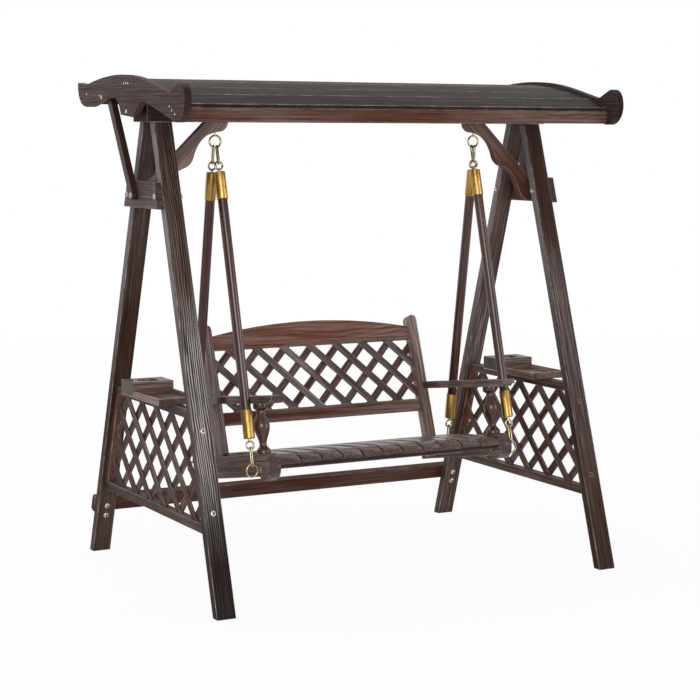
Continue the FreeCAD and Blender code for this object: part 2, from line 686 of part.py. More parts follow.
low_rail_outline = [(-POST_IN, LOW_RAIL_S), (POST_IN, LOW_RAIL_S),
                    (POST_IN, LOW_RAIL_TOP), (-POST_IN, LOW_RAIL_TOP)]
save("back_low_rail", back_prism(low_rail_outline, BACK_RAIL_SET, RAIL_REAR))
bow_left = back_front(-POST_IN, TOP_RAIL_SHOULDER)
bow_right = back_front(POST_IN, TOP_RAIL_SHOULDER)
bow_edges = [Part.makeLine(bow_left, back_front(-POST_IN, TOP_RAIL_S)),
             Part.makeLine(back_front(-POST_IN, TOP_RAIL_S), back_front(POST_IN, TOP_RAIL_S)),
             Part.makeLine(back_front(POST_IN, TOP_RAIL_S), bow_right),
             Part.Arc(bow_right, back_front(0, TOP_RAIL_SHOULDER + TOP_RAIL_BOW), bow_left).toShape()]
save("back_top_rail", Part.Face(Part.Wire(bow_edges)).extrude(BACK_IN * BACK_RAIL_THICK))

back_opening = [(-POST_IN, LOW_RAIL_TOP), (POST_IN, LOW_RAIL_TOP),
                (POST_IN, TOP_RAIL_S), (-POST_IN, TOP_RAIL_S)]
back_cross = (BACK_CROSS_ASIDE, TOP_RAIL_S - BACK_CROSS_DOWN)
for lean, name, n0 in ((-1, "back_bars_front", BARS_MID - SLAT_LAYER), (1, "back_bars_rear", BARS_MID)):
    outlines = lattice_bars(back_opening, BACK_PITCH, BACK_BAR, lean, back_cross)
    save(name, together([back_prism(o, n0, n0 + SLAT_LAYER) for o in outlines]))

# Seat slats: crowned top, rolled over in front, underside in two straight stretches.
brow_w = SLAT_TOP - SLAT_BROW_DOWN
edge_w = brow_w - SLAT_NOSE_DROP
lip_w = edge_w - SLAT_NOSE_LIP
brow_low = brow_w - SLAT_THICK
nose_in = SLAT_NOSE_REACH - SLAT_THICK
nose_long = SLAT_BROW_U + SLAT_NOSE_REACH
slat_pitch = 2 * RAIL_IN / SLATS


def slat_low(u):
    """Height of the slats' underside, u behind the middle of the rails' front ends."""
    if u < SLAT_BROW_U:
        return lip_w + (brow_low - lip_w) * (u + nose_in) / (SLAT_BROW_U + nose_in)
    return brow_low + SLAT_BROW_DOWN * (u - SLAT_BROW_U) / (SLAT_LONG - SLAT_BROW_U)


def slat(x):
    brow = seat_yz(SLAT_BROW_U, brow_w)
    edge = seat_yz(-SLAT_NOSE_REACH, edge_w)
    rear = seat_yz(SLAT_LONG, SLAT_TOP)
    bend = seat_yz(SLAT_BROW_U - SLAT_BEND_BACK * nose_long, brow_w - SLAT_BEND_DOWN * SLAT_NOSE_DROP)
    crown = arc_x(rear, seat_yz((SLAT_LONG + SLAT_BROW_U) / 2, SLAT_TOP), brow, x)
    roll = arc_x(brow, bend, edge, x)
    corners = [edge, seat_yz(-SLAT_NOSE_REACH, lip_w), seat_yz(-nose_in, lip_w),
               seat_yz(SLAT_BROW_U, brow_low), seat_yz(SLAT_LONG, slat_low(SLAT_LONG)), rear]
    straight = [line_x(corners[k], corners[k + 1], x) for k in range(len(corners) - 1)]
    blank = solid_x([crown, roll] + straight, x, x + slat_pitch - SLAT_GAP)
    return blank.cut(post).cut(mirrored(post))


save("seat_slats", together([slat(-RAIL_IN + i * slat_pitch + SLAT_GAP / 2) for i in range(SLATS)]))

# Cross rails under the slats, and battens between the rear two.
CROSS_REAR_U = SLAT_LONG - CROSS_REAR_INSET
CROSS_MID_U = (CROSS_REAR_U - nose_in) / 2
cross_low = lip_w - CROSS_SHOW


def under_slats(u0, u1, low, x0, x1):
    return prism_x([seat_yz(u0, low), seat_yz(u1, low), seat_yz(u1, slat_low(u1)),
                    seat_yz(u0, slat_low(u0))], x0, x1)


cross_rails = [under_slats(u, u + CROSS_THICK, cross_low, -RAIL_IN, RAIL_IN)
               for u in (-nose_in, CROSS_MID_U, CROSS_REAR_U)]
save("seat_cross_rails", together(cross_rails))
batten_u = CROSS_MID_U + CROSS_THICK
batten = under_slats(batten_u, CROSS_REAR_U, slat_low(batten_u) - BATTEN_THICK,
                     BATTEN_X - BATTEN_WIDE / 2, BATTEN_X + BATTEN_WIDE / 2)
save("seat_battens", with_mirror([batten]))

# Arms: from a stepped front end back to the front faces of the posts.
arm_half = ARM_THICK / 2
arm_long = RAIL_LONG + POST_DEEP + ARM_OVERHANG
arm = prism_x([arm_yz(0, arm_half), arm_yz(0, -arm_half + ARM_LIP_CUT),
               arm_yz(ARM_LIP - ARM_LIP_CUT, -arm_half + ARM_LIP_CUT), arm_yz(ARM_LIP, -arm_half),
               arm_yz(arm_long, -arm_half), arm_yz(arm_long, arm_half)], ARM_IN, ARM_OUT)
behind = prism_x([back_yz(-POST_FOOT, 0), back_yz(POST_TALL, 0), back_yz(POST_TALL, POST_TALL),
                  back_yz(-POST_FOOT, POST_TALL)], 0.0, RAIL_OUT)
save_pair("arm", arm.cut(behind))

# Baluster, turned, standing square on the rail and trimmed to the slope of the arm.
baluster_y, baluster_z = seat_yz(BALUSTER_U, RAIL_UP)
baluster_tall = (ARM_FRONT_Z - baluster_z) / cos(SEAT_TILT) + ARM_THICK
baluster_stops = [(BALUSTER_BASE_R, BALUSTER_BASE_HIGH), (BALUSTER_NECK_R, BALUSTER_NECK_UP),
                  (BALUSTER_BULB_R, BALUSTER_BULB_UP), (BALUSTER_COLLAR_R, BALUSTER_COLLAR_UP),
                  (BALUSTER_CROWN_R, BALUSTER_CROWN_UP)]
baluster_profile = [(BALUSTER_BASE_R, 0.0), baluster_stops[0]]
for (r0, h0), (r1, h1) in zip(baluster_stops, baluster_stops[1:]):
    for k in range(1, BALUSTER_STEPS + 1):
        share = k / BALUSTER_STEPS
        sway = (1 - cos(180.0 * share)) / 2
        baluster_profile.append((r0 + (r1 - r0) * sway, h0 + (h1 - h0) * share))
baluster_profile.append((BALUSTER_CROWN_R, baluster_tall))
baluster = turned(baluster_profile, BALUSTER_SIDES)
baluster.rotate(V(0, 0, 0), X_AXIS, -SEAT_TILT)
baluster.translate(V(RAIL_MID, baluster_y, baluster_z))
above_arm = prism_x([arm_yz(-ARM_THICK, -arm_half), arm_yz(arm_long, -arm_half),
                     arm_yz(arm_long, arm_long), arm_yz(-ARM_THICK, arm_long)], 0.0, LEG_IN)
save_pair("baluster", baluster.cut(above_arm))


# Seat eyes, and the hanging poles, each from a hanger eye to a seat eye.
def seat_eye(x, at):
    mid = V(x, at[0], at[1])
    ring = wire_ring(mid, X_AXIS, Z_AXIS, EYE_R, EYE_WIRE, EYE_BENDS, 0.5)
    neck = rod(V(RAIL_IN, mid.y, mid.z), V(x - EYE_R - RAIL_IN, 0, 0), Z_AXIS, SHANK_R, WIRE_SIDES)
    washer = rod(V(RAIL_OUT, mid.y, mid.z), V(WASHER_THICK, 0, 0), Z_AXIS, WASHER_R, WIRE_SIDES)
    nut = rod(V(RAIL_IN, mid.y, mid.z), V(-NUT_HIGH, 0, 0), Z_AXIS, NUT_R, NUT_SIDES)
    return fused([ring, neck, washer, nut])


EYE_OFF = LINK_LONG + POLE_EYE_R
CAP_OFF = EYE_OFF + POLE_EYE_R + POLE_EYE_NECK


def pole_eye(end, inward):
    mid = end + inward * EYE_OFF
    ring = wire_ring(mid, X_AXIS, inward, POLE_EYE_R, EYE_WIRE, POLE_EYE_BENDS, 0.5)
    neck = rod(mid + inward * POLE_EYE_R, inward * POLE_EYE_NECK, X_AXIS, EYE_WIRE, WIRE_SIDES)
    return fused([ring, neck])


def ferrule(end, inward):
    cap = end + inward * CAP_OFF
    hollow_r = (POLE_R + FERRULE_PLAY) / cos(180.0 / FERRULE_SIDES)
    sleeve = rod(cap, inward * FERRULE_LONG, X_AXIS, hollow_r + FERRULE_WALL, FERRULE_SIDES)
    return sleeve.cut(rod(cap + inward * FERRULE_CAP, inward * FERRULE_LONG, X_AXIS, hollow_r, FERRULE_SIDES))


ferrules = []
pole_eyes = []
top_links = []
low_links = []
for name, x, at in (("pole_front", POLE_FRONT_X, eye_front), ("pole_rear", POLE_REAR_X, eye_rear)):
    high = V(x, 0, SWING_Z)
    low = V(x, at[0], at[1] + EYE_R)
    down = (low - high).normalize()
    wood_long = (low - high).Length - 2 * (CAP_OFF + FERRULE_CAP)
    save_pair(name, bar(high + down * (CAP_OFF + FERRULE_CAP), down, wood_long, POLE_R))
    ferrules += [ferrule(high, down), ferrule(low, -down)]
    pole_eyes += [pole_eye(high, down), pole_eye(low, -down)]
    top_links.append(link(high, high + down * LINK_LONG))
    low_links.append(link(low, low - down * LINK_LONG))
save("pole_ferrules", with_mirror(ferrules))
save("pole_eyes", with_mirror(pole_eyes))
save("pole_links_top", with_mirror(top_links))
save("pole_links_low", with_mirror(low_links))
save("seat_eyes", with_mirror([seat_eye(POLE_FRONT_X, eye_front), seat_eye(POLE_REAR_X, eye_rear)]))
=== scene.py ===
import bpy
import math
from mathutils import Matrix, Vector
from mathutils.geometry import interpolate_bezier


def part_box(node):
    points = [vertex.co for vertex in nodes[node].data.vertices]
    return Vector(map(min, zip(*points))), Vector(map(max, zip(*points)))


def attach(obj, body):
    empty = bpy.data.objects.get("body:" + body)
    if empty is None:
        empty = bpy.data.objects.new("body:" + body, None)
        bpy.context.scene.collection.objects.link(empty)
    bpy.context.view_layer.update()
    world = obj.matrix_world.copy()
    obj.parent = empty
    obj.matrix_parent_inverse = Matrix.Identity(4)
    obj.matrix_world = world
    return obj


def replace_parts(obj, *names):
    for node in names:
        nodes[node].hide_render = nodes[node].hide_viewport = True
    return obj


# Garden swing in metres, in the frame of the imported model: +X along the beam, +Y to the rear, +Z up.

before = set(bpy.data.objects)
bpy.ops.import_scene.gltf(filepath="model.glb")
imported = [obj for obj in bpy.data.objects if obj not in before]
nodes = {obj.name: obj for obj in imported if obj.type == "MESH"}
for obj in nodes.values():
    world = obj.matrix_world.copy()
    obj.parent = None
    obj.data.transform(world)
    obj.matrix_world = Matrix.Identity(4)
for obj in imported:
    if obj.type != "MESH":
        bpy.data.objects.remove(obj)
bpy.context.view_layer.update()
SIDES = (("l", -1), ("r", 1))
X_AXIS = Vector((1, 0, 0))
Y_AXIS = Vector((0, 1, 0))
Z_AXIS = Vector((0, 0, 1))

# Camera of the photograph.
CAMERA_AT = (-3.5544, -6.5877, 1.7387)
CAMERA_YAW = 28.40
CAMERA_PITCH = -4.19
CAMERA_ROLL = 0.216
FOCAL_PIXELS = 1871.5
IMAGE_PIXELS = 700.0
SENSOR_MM = 36.0
SHIFT_DOWN = 0.12
CLIP_FAR = 200.0

# Sizes of the stand, the hanging parts and the bench that the pieces drawn here keep to.
LEG_LEAN = 17.92
LEG_X = 0.8285
LEG_WIDE = 0.075
LEG_THICK = 0.037
LEG_TOP = 1.762
BEAM_HALF = 0.0682
BEAM_TOP = 1.840
HANGER_X = 0.584
EYE_R = 0.0235
EYE_WIRE = 0.004
EYE_DROP = 0.074
LINK_OFFSET = 0.007
LINK_WIRE = 0.003
LINK_R = 0.0074
LINK_LONG = 0.057
POLE_EYE_R = 0.015
POLE_EYE_NECK = 0.010
POLE_R = 0.019
FERRULE_R = 0.0217
FERRULE_LONG = 0.107
SHANK_R = 0.004
NUT_R = 0.010
NUT_HIGH = 0.008
WASHER_R = 0.010
WASHER_THICK = 0.003
SEAT_TILT = 10.5
RAIL_NOSE_Y = -0.345
RAIL_NOSE_Z = 0.490
RAIL_UP = 0.036
RAIL_DOWN = 0.050
RAIL_IN = 0.487
RAIL_OUT = 0.540
RAIL_MID = (RAIL_IN + RAIL_OUT) / 2
EYE_FRONT_SEAT = (0.031, -0.023)
EYE_REAR_SEAT = (0.548, 0.001)
BACK_LEAN = 19.5
ARM_SLOPE = 7.7
BALUSTER_U = 0.053


def sin(deg):
    return math.sin(math.radians(deg))


def cos(deg):
    return math.cos(math.radians(deg))


def seat_point(x, u, w):
    """Point of the tipped seat: u runs back along the rail from its nose, w stands square to it."""
    y = RAIL_NOSE_Y + u * cos(SEAT_TILT) + w * sin(SEAT_TILT)
    z = RAIL_NOSE_Z - u * sin(SEAT_TILT) + w * cos(SEAT_TILT)
    return Vector((x, y, z))


def leg_face(z):
    """Distance from the middle to the outer face of a leg at height z."""
    return BEAM_HALF + (LEG_TOP - z) * math.tan(math.radians(LEG_LEAN))


NEAR_X = 0.9


def frame_on(axis):
    """Two directions square to an axis."""
    axis = Vector(axis).normalized()
    helper = X_AXIS if abs(axis.x) < NEAR_X else Y_AXIS
    first = axis.cross(helper).normalized()
    return first, axis.cross(first)


# Directions of the grain.
BEAM_RUN = (1.0, 0.0, 0.0)
DEPTH_RUN = (0.0, 1.0, 0.0)
UP_RUN = (0.0, 0.0, 1.0)
LEG_FRONT_RUN = (0.0, sin(LEG_LEAN), cos(LEG_LEAN))
LEG_REAR_RUN = (0.0, -sin(LEG_LEAN), cos(LEG_LEAN))
SEAT_RUN = (0.0, cos(SEAT_TILT), -sin(SEAT_TILT))
SEAT_UP = (0.0, sin(SEAT_TILT), cos(SEAT_TILT))
BACK_UP = (0.0, sin(BACK_LEAN), cos(BACK_LEAN))
ARM_RUN = (0.0, cos(ARM_SLOPE), -sin(ARM_SLOPE))
STAY_RUN = (0.0, 0.230, 0.372)
RISING = (0.0, 1.0, 1.0)
FALLING = (0.0, 1.0, -1.0)
BACK_RISING = (1.0, BACK_UP[1], BACK_UP[2])
BACK_FALLING = (1.0, -BACK_UP[1], -BACK_UP[2])
KNEE_L_RUN = (-1.0, 0.0, -1.0)
KNEE_R_RUN = (1.0, 0.0, -1.0)


def screen_colour(red, green, blue):
    """Colour written as it looks on a screen, from 0 to 255, carried to linear light by the sRGB curve."""
    channels = []
    for value in (red, green, blue):
        share = value / 255
        channels.append(share / 12.92 if share <= 0.04045 else ((share + 0.055) / 1.055) ** 2.4)
    return (*channels, 1.0)


def tone_family(*colours):
    return [screen_colour(*colour) for colour in colours]


class Nodes:
    """Short way to add and join the nodes of a tree."""

    def __init__(self, tree):
        self.tree = tree

    def add(self, kind, settings=None, **inputs):
        node = self.tree.nodes.new(kind)
        for key, value in (settings or {}).items():
            setattr(node, key, value)
        for key, value in inputs.items():
            self.put(node.inputs[key.replace("_", " ")], value)
        return node

    def put(self, socket, value):
        if isinstance(value, bpy.types.NodeSocket):
            self.tree.links.new(value, socket)
        else:
            socket.default_value = value

    def math(self, operation, a, b=0.0):
        node = self.add("ShaderNodeMath", {"operation": operation})
        self.put(node.inputs[0], a)
        self.put(node.inputs[1], b)
        return node.outputs[0]

    def mean(self, a, b):
        return self.math("MULTIPLY", self.math("ADD", a, b), 0.5)

    def span(self, value, low, high):
        """Value from 0 to 1 carried to the span from low to high."""
        return self.math("ADD", self.math("MULTIPLY", value, high - low), low)

    def dot(self, a, direction):
        node = self.add("ShaderNodeVectorMath", {"operation": "DOT_PRODUCT"})
        self.put(node.inputs[0], a)
        self.put(node.inputs[1], direction)
        return node.outputs["Value"]

    def scaled(self, vector, scale):
        node = self.add("ShaderNodeVectorMath", {"operation": "SCALE"}, Scale=scale)
        self.put(node.inputs[0], vector)
        return node.outputs[0]

    def joined(self, x, y, z):
        node = self.add("ShaderNodeCombineXYZ")
        for socket, value in zip(node.inputs, (x, y, z)):
            self.put(socket, value)
        return node.outputs[0]

    def noise(self, vector, detail, roughness=0.55):
        node = self.add("ShaderNodeTexNoise", Vector=vector, Detail=detail, Roughness=roughness,
                        Distortion=0.0, Scale=1.0)
        return node.outputs["Fac"]

    def ramp(self, value, places, colours):
        node = self.add("ShaderNodeValToRGB", Fac=value)
        elements = node.color_ramp.elements
        while len(elements) < len(places):
            elements.new(0.5)
        for element, place, colour in zip(elements, places, colours):
            element.position = place
            element.color = colour
        return node.outputs["Color"]

    def mix(self, share, a, b, blend="MIX"):
        node = self.add("ShaderNodeMix", {"data_type": "RGBA", "blend_type": blend})
        self.put(node.inputs["Factor"], share)
        self.put(node.inputs["A"], a)
        self.put(node.inputs["B"], b)
        return node.outputs["Result"]


def new_material(name):
    material = bpy.data.materials.new(name)
    material.use_nodes = True
    n = Nodes(material.node_tree)
    return material, n, n.tree.nodes["Principled BSDF"]


# Streaks of wood and metal: changes in a metre along and across them, and their detail.
FIBRE = (8.0, 430.0, 2.0)
VEIN = (1.8, 140.0, 3.0)
PATCH = (1.4, 6.0, 2.0)
RING_DRIFT = (0.9, 9.0, 1.0)
RING_SHAKE = (9.0, 22.0, 1.0)
TARNISH = (14.0, 90.0, 3.0)


def along_and_across(n, place, along):
    """Place measured along a direction and along the two directions square to it."""
    return [n.dot(place, direction) for direction in (along, *frame_on(along))]


def streaks(n, run, stretch, fine=1.0):
    """Noise drawn out along the grain; fine sets how close the streaks lie."""
    u, v, w = run
    lengthwise, crosswise, detail = stretch
    spot = n.joined(n.math("MULTIPLY", u, lengthwise), n.math("MULTIPLY", v, crosswise * fine),
                    n.math("MULTIPLY", w, crosswise * fine))
    return n.noise(spot, detail)


RING_COUNT = 72.0
RING_PITCH = 0.0085
RING_WAVER = 7.0
RING_DEPTH = 0.11


def wood_grain(n, run, rings, fine):
    """Fibres, veins and growth rings in one value around 0.5."""
    u, v, w = run
    drift = n.math("MULTIPLY", streaks(n, run, RING_DRIFT, fine), RING_COUNT)
    even = n.math("MULTIPLY", n.math("ADD", v, w), 2 * math.pi * fine / RING_PITCH)
    waver = n.math("MULTIPLY", streaks(n, run, RING_SHAKE, fine), RING_WAVER)
    growth = n.math("SINE", n.math("ADD", n.math("ADD", drift, even), waver))
    lines = n.mean(streaks(n, run, FIBRE, fine), streaks(n, run, VEIN, fine))
    return n.math("ADD", lines, n.math("MULTIPLY", growth, rings * RING_DEPTH))


FADE_TOP = 2.0


def up_the_piece(n, place, stops):
    """Share from 0 to 1 or more that changes with height, given as (height, share)."""
    height = n.math("DIVIDE", n.dot(place, UP_RUN), FADE_TOP)
    places = [z / FADE_TOP for z, share in stops]
    return n.ramp(height, places, [(share, share, share, 1.0) for z, share in stops])


WEATHER_TONES = tone_family((50, 44, 44), (104, 95, 94), (196, 189, 186))
WEATHER_PLACES = (0.39, 0.50, 0.65)
# Smooth pale grey of the side faces: painted sheen where the light falls on them.
SIDE_SHEEN_TONES = tone_family((98, 91, 93), (136, 129, 132), (178, 172, 175))
SIDE_SHEEN_PLACES = (0.35, 0.50, 0.70)
SIDE_FACE = 0.6


def weathered_with_sheen(n, colour, grain, place, normal, weather_and_sheen):
    """Colour with greyed wood up the front faces and a pale painted sheen up the side faces."""
    up_front, up_side = weather_and_sheen
    greyed = n.ramp(grain, WEATHER_PLACES, WEATHER_TONES)
    # Side faces take the pale grey as painted sheen.
    side_sheen = n.ramp(grain, SIDE_SHEEN_PLACES, SIDE_SHEEN_TONES)
    sideways = n.math("GREATER_THAN", n.math("ABSOLUTE", n.dot(normal, BEAM_RUN)), SIDE_FACE)
    share = n.mix(sideways, up_the_piece(n, place, up_front), up_the_piece(n, place, up_side))
    return n.mix(share, colour, n.mix(sideways, greyed, side_sheen))


BLACK = (0.0, 0.0, 0.0, 1.0)
WHITE = (1.0, 1.0, 1.0, 1.0)
TONE_PLACES = (0.32, 0.50, 0.74)
WARM_PLACES = (0.42, 0.62)
MIDDLE_TONE = 0.5
GRAIN_APART = 7.0
BLOTCH_SPREAD = 0.3
END_FACING_FROM = 0.55
END_FACING_TO = 0.95
END_GRAIN_DARK = 0.45
SEAM_HALF = 0.0014
SEAM_DARK = 0.35
WOOD_ROUGHNESS = (0.70, 0.45)
WOOD_SPECULAR = 0.10
GRAIN_DEPTH = 0.0015


def wood(name, along, tones, level=1.0, relief=0.35, rings=0.25, gloss=0.0, polish=0.16, fine=1.0,
         blotch=1.0, pieces=False, seam=None, fade=None, weather_and_sheen=None):
    """Stained softwood with grain along one direction, dark where the grain ends.

    tones are its dark, middle, pale and warm colours, level how bright they are, relief the depth of the
    grain, rings how strongly the growth rings show, gloss the share of clear varnish, polish the varnish's
    roughness, fine how close the streaks lie, blotch how much the brightness wanders. pieces gives each
    board of a node its own tone and grain, seam is the place of a joint along Y, fade the brightness at
    heights up the piece, weather the share of greyed wood at heights up the front faces and of painted
    sheen up the side faces.
    """
    material, n, shader = new_material(name)
    along = Vector(along).normalized()
    coordinates = n.add("ShaderNodeTexCoord")
    place = coordinates.outputs["Object"]
    normal = coordinates.outputs["Normal"]
    run = along_and_across(n, place, along)
    tone = MIDDLE_TONE
    if pieces:
        tone = n.add("ShaderNodeNewGeometry").outputs["Random Per Island"]
        run[0] = n.math("ADD", run[0], n.math("MULTIPLY", tone, GRAIN_APART))
    grain = wood_grain(n, run, rings, fine)
    patch = streaks(n, run, PATCH, fine)

    *plain, warm = tones
    warmth = n.ramp(patch, WARM_PLACES, (BLACK, WHITE))
    colour = n.mix(warmth, n.ramp(grain, TONE_PLACES, plain), warm, "SOFT_LIGHT")
    # Greyed wood up the front faces, painted sheen up the side faces.
    if weather_and_sheen:
        colour = weathered_with_sheen(n, colour, grain, place, normal, weather_and_sheen)

    spread = BLOTCH_SPREAD * blotch
    shade = n.span(n.mean(patch, tone), (1 - spread) * level, (1 + spread) * level)
    facing = n.math("ABSOLUTE", n.dot(normal, along))
    end_grain = n.add("ShaderNodeMapRange", {"interpolation_type": "SMOOTHSTEP"}, Value=facing,
                      From_Min=END_FACING_FROM, From_Max=END_FACING_TO, To_Min=1.0, To_Max=END_GRAIN_DARK)
    shade = n.math("MULTIPLY", shade, end_grain.outputs["Result"])
    if seam is not None:
        away = n.math("ABSOLUTE", n.math("SUBTRACT", n.dot(place, DEPTH_RUN), seam))
        shade = n.math("MULTIPLY", shade, n.span(n.math("GREATER_THAN", away, SEAM_HALF), SEAM_DARK, 1.0))
    if fade:
        shade = n.math("MULTIPLY", shade, up_the_piece(n, place, fade))

    n.put(shader.inputs["Base Color"], n.scaled(colour, shade))
    n.put(shader.inputs["Roughness"], n.span(grain, *WOOD_ROUGHNESS))
    n.put(shader.inputs["Specular IOR Level"], WOOD_SPECULAR)
    n.put(shader.inputs["Coat Weight"], gloss)
    n.put(shader.inputs["Coat Roughness"], polish)
    bump = n.add("ShaderNodeBump", Height=grain, Strength=relief, Distance=GRAIN_DEPTH)
    n.put(shader.inputs["Normal"], bump.outputs["Normal"])
    return material


RUB_SCALE = 16.0
RUB_DETAIL = 4.0
RUB_HARSH = 0.65
RUB_PLACES = (0.42, 0.78)
RUB_ROUGHNESS = (0.45, 0.65)


def worn_highlight_edge(name, stained, bare_and_highlight):
    """Edge where the stain has rubbed off in patches; its pale colour is also a painted highlight along the
    edges.
    """
    material, n, shader = new_material(name)
    place = n.add("ShaderNodeTexCoord").outputs["Object"]
    rubbed = n.noise(n.scaled(place, RUB_SCALE), RUB_DETAIL, RUB_HARSH)
    n.put(shader.inputs["Base Color"], n.ramp(rubbed, RUB_PLACES, (stained, bare_and_highlight)))
    n.put(shader.inputs["Roughness"], n.span(rubbed, *RUB_ROUGHNESS))
    return material


TARNISH_PLACES = (0.25, 0.60)
TARNISH_ROUGH = 1.2
TARNISH_SMOOTH = 0.8


def metal(name, colour, deep, roughness):
    """Plated or polished metal with faint upright streaks of tarnish in a deeper colour."""
    material, n, shader = new_material(name)
    place = n.add("ShaderNodeTexCoord").outputs["Object"]
    tarnish = streaks(n, along_and_across(n, place, UP_RUN), TARNISH)
    tones = (screen_colour(*deep), screen_colour(*colour))
    n.put(shader.inputs["Base Color"], n.ramp(tarnish, TARNISH_PLACES, tones))
    n.put(shader.inputs["Roughness"], n.span(tarnish, roughness * TARNISH_ROUGH, roughness * TARNISH_SMOOTH))
    n.put(shader.inputs["Metallic"], 1.0)
    return material


# Wood tones, each dark, middle, pale and warm.
BROWN_TONES = tone_family((46, 34, 32), (84, 66, 61), (134, 119, 114), (134, 110, 100))
CHAR_TONES = tone_family((54, 46, 47), (92, 81, 81), (140, 131, 130), (130, 118, 116))
RED_TONES = tone_family((62, 39, 34), (102, 71, 62), (140, 109, 98), (152, 106, 86))
FASCIA_TONES = tone_family((56, 40, 36), (93, 71, 63), (132, 109, 100), (146, 112, 96))
POST_TONES = tone_family((68, 57, 55), (110, 95, 91), (160, 147, 142), (128, 118, 114))
GREY_TONES = tone_family((40, 31, 27), (82, 69, 62), (140, 129, 121), (132, 114, 100))
TURNED_TONES = tone_family((32, 17, 14), (64, 38, 31), (104, 72, 60), (150, 92, 70))
POLE_TONES = tone_family((34, 18, 15), (72, 42, 35), (106, 76, 66), (150, 90, 70))

# Brightness, weathering and painted sheen up the pieces, as (height, share).
# Roof darker low down and much brighter near the ridge: the brightening is painted sheen on the top boards.
ROOF_RIDGE_SHEEN_FADE = [(1.80, 0.58), (1.88, 0.56), (1.94, 1.75)]
LEG_FADE_L = [(0.0, 0.22), (0.30, 0.36), (0.50, 1.0)]
GREY_NONE = [(0.0, 0.0), (1.0, 0.0)]
GREY_FRONT_L = [(0.18, 0.0), (0.34, 0.6), (0.50, 0.85), (0.90, 0.95), (1.15, 0.1)]
GREY_FRONT_R = [(0.40, 0.0), (0.70, 0.35), (1.00, 0.35), (1.40, 0.0)]
GREY_REAR_R = [(0.40, 0.1), (0.90, 0.4), (1.25, 0.0)]
# Share of painted sheen up the side faces of the legs.
SIDE_SHEEN_HIGH = [(0.60, 0.0), (1.00, 0.5), (1.30, 0.9)]
GABLE_SEAM = -0.072


def paint(material, *names):
    """Give a material to nodes, or to the left and right node of a pair."""
    for name in names:
        for found in (name, name + "_l", name + "_r"):
            if found in nodes:
                mesh = nodes[found].data
                mesh.materials.clear()
                mesh.materials.append(material)


# Wood of the legs, each with its own weathering and with painted sheen up the side faces.
paint(wood("wood_leg_front_l", LEG_FRONT_RUN, BROWN_TONES, level=0.8, relief=0.8, rings=1.3, fine=1.15,
           blotch=0.3, fade=LEG_FADE_L, weather_and_sheen=(GREY_FRONT_L, SIDE_SHEEN_HIGH)), "leg_front_l")
paint(wood("wood_leg_front_r", LEG_FRONT_RUN, BROWN_TONES, level=0.75, relief=0.8, rings=0.4, blotch=0.5,
           weather_and_sheen=(GREY_FRONT_R, SIDE_SHEEN_HIGH)), "leg_front_r")
paint(wood("wood_leg_rear_l", LEG_REAR_RUN, BROWN_TONES, level=0.72, relief=0.5, rings=0.3, blotch=0.5,
           weather_and_sheen=(GREY_NONE, SIDE_SHEEN_HIGH)), "leg_rear_l")
paint(wood("wood_leg_rear_r", LEG_REAR_RUN, BROWN_TONES, level=0.95, relief=0.5, rings=0.3, blotch=0.5,
           weather_and_sheen=(GREY_REAR_R, SIDE_SHEEN_HIGH)), "leg_rear_r")

# Wood of the rest of the stand and the roof.
fascia_wood = wood("wood_fascia", BEAM_RUN, FASCIA_TONES, relief=0.4, rings=0.3)
paint(fascia_wood, "fascia_rear")
# Beam and seat cross rails darkened to half level: painted shade.
paint(wood("wood_beam", BEAM_RUN, BROWN_TONES, level=0.5), "top_beam", "seat_cross_rails")
paint(wood("wood_stretcher", BEAM_RUN, RED_TONES, level=0.8, relief=0.4, rings=0.3), "rear_stretcher")
# Roof boards brightened towards the ridge by their fade: painted sheen.
paint(wood("wood_roof", BEAM_RUN, GREY_TONES, level=0.43, relief=0.7, rings=0.3, fine=0.55, blotch=1.8,
           pieces=True, fade=ROOF_RIDGE_SHEEN_FADE), "roof_boards")
paint(wood("wood_collar", DEPTH_RUN, CHAR_TONES, level=1.5, relief=0.3, rings=0.1, blotch=0.5),
      "collar_board")
paint(wood("wood_stay", STAY_RUN, BROWN_TONES, level=0.7, gloss=0.3), "roof_stay")
# The right gable is painted darker than the left: painted shade on its side.
for end, level in (("l", 0.75), ("r", 0.4)):
    paint(wood("wood_gable_" + end, DEPTH_RUN, BROWN_TONES, level=level, relief=0.6, rings=0.5, fine=1.3,
               seam=GABLE_SEAM), "gable_board_" + end)
knee_wood = {"l": wood("wood_knee_l", KNEE_L_RUN, POST_TONES, level=1.7),
             "r": wood("wood_knee_r", KNEE_R_RUN, FASCIA_TONES, level=1.3)}

# Wood of the side panels.
paint(wood("wood_panel_rails", DEPTH_RUN, BROWN_TONES, rings=0.4), "panel_top_rail", "panel_low_rail")
paint(wood("wood_stile", UP_RUN, RED_TONES), "panel_stiles")
paint(wood("wood_bars_near", RISING, BROWN_TONES, pieces=True), "panel_bars_near")
paint(wood("wood_bars_far", FALLING, BROWN_TONES, pieces=True), "panel_bars_far")
paint(wood("wood_cup_block", BEAM_RUN, BROWN_TONES, level=1.5, rings=0.3, gloss=0.3), "cup_block")
for end, level in (("l", 2.1), ("r", 3.0)):
    paint(wood("wood_tray_" + end, DEPTH_RUN, BROWN_TONES, level=level, rings=0.4, gloss=0.5),
          "side_tray_" + end)

# Wood of the bench.
paint(wood("wood_back_top", BEAM_RUN, FASCIA_TONES, level=2.0, relief=0.3, rings=0.4), "back_top_rail")
paint(wood("wood_back_low", BEAM_RUN, BROWN_TONES, level=2.15, relief=0.3, rings=0.2), "back_low_rail")
paint(wood("wood_back_front", BACK_FALLING, CHAR_TONES, level=1.5, pieces=True), "back_bars_front")
paint(wood("wood_back_rear", BACK_RISING, BROWN_TONES, level=1.4, pieces=True), "back_bars_rear")
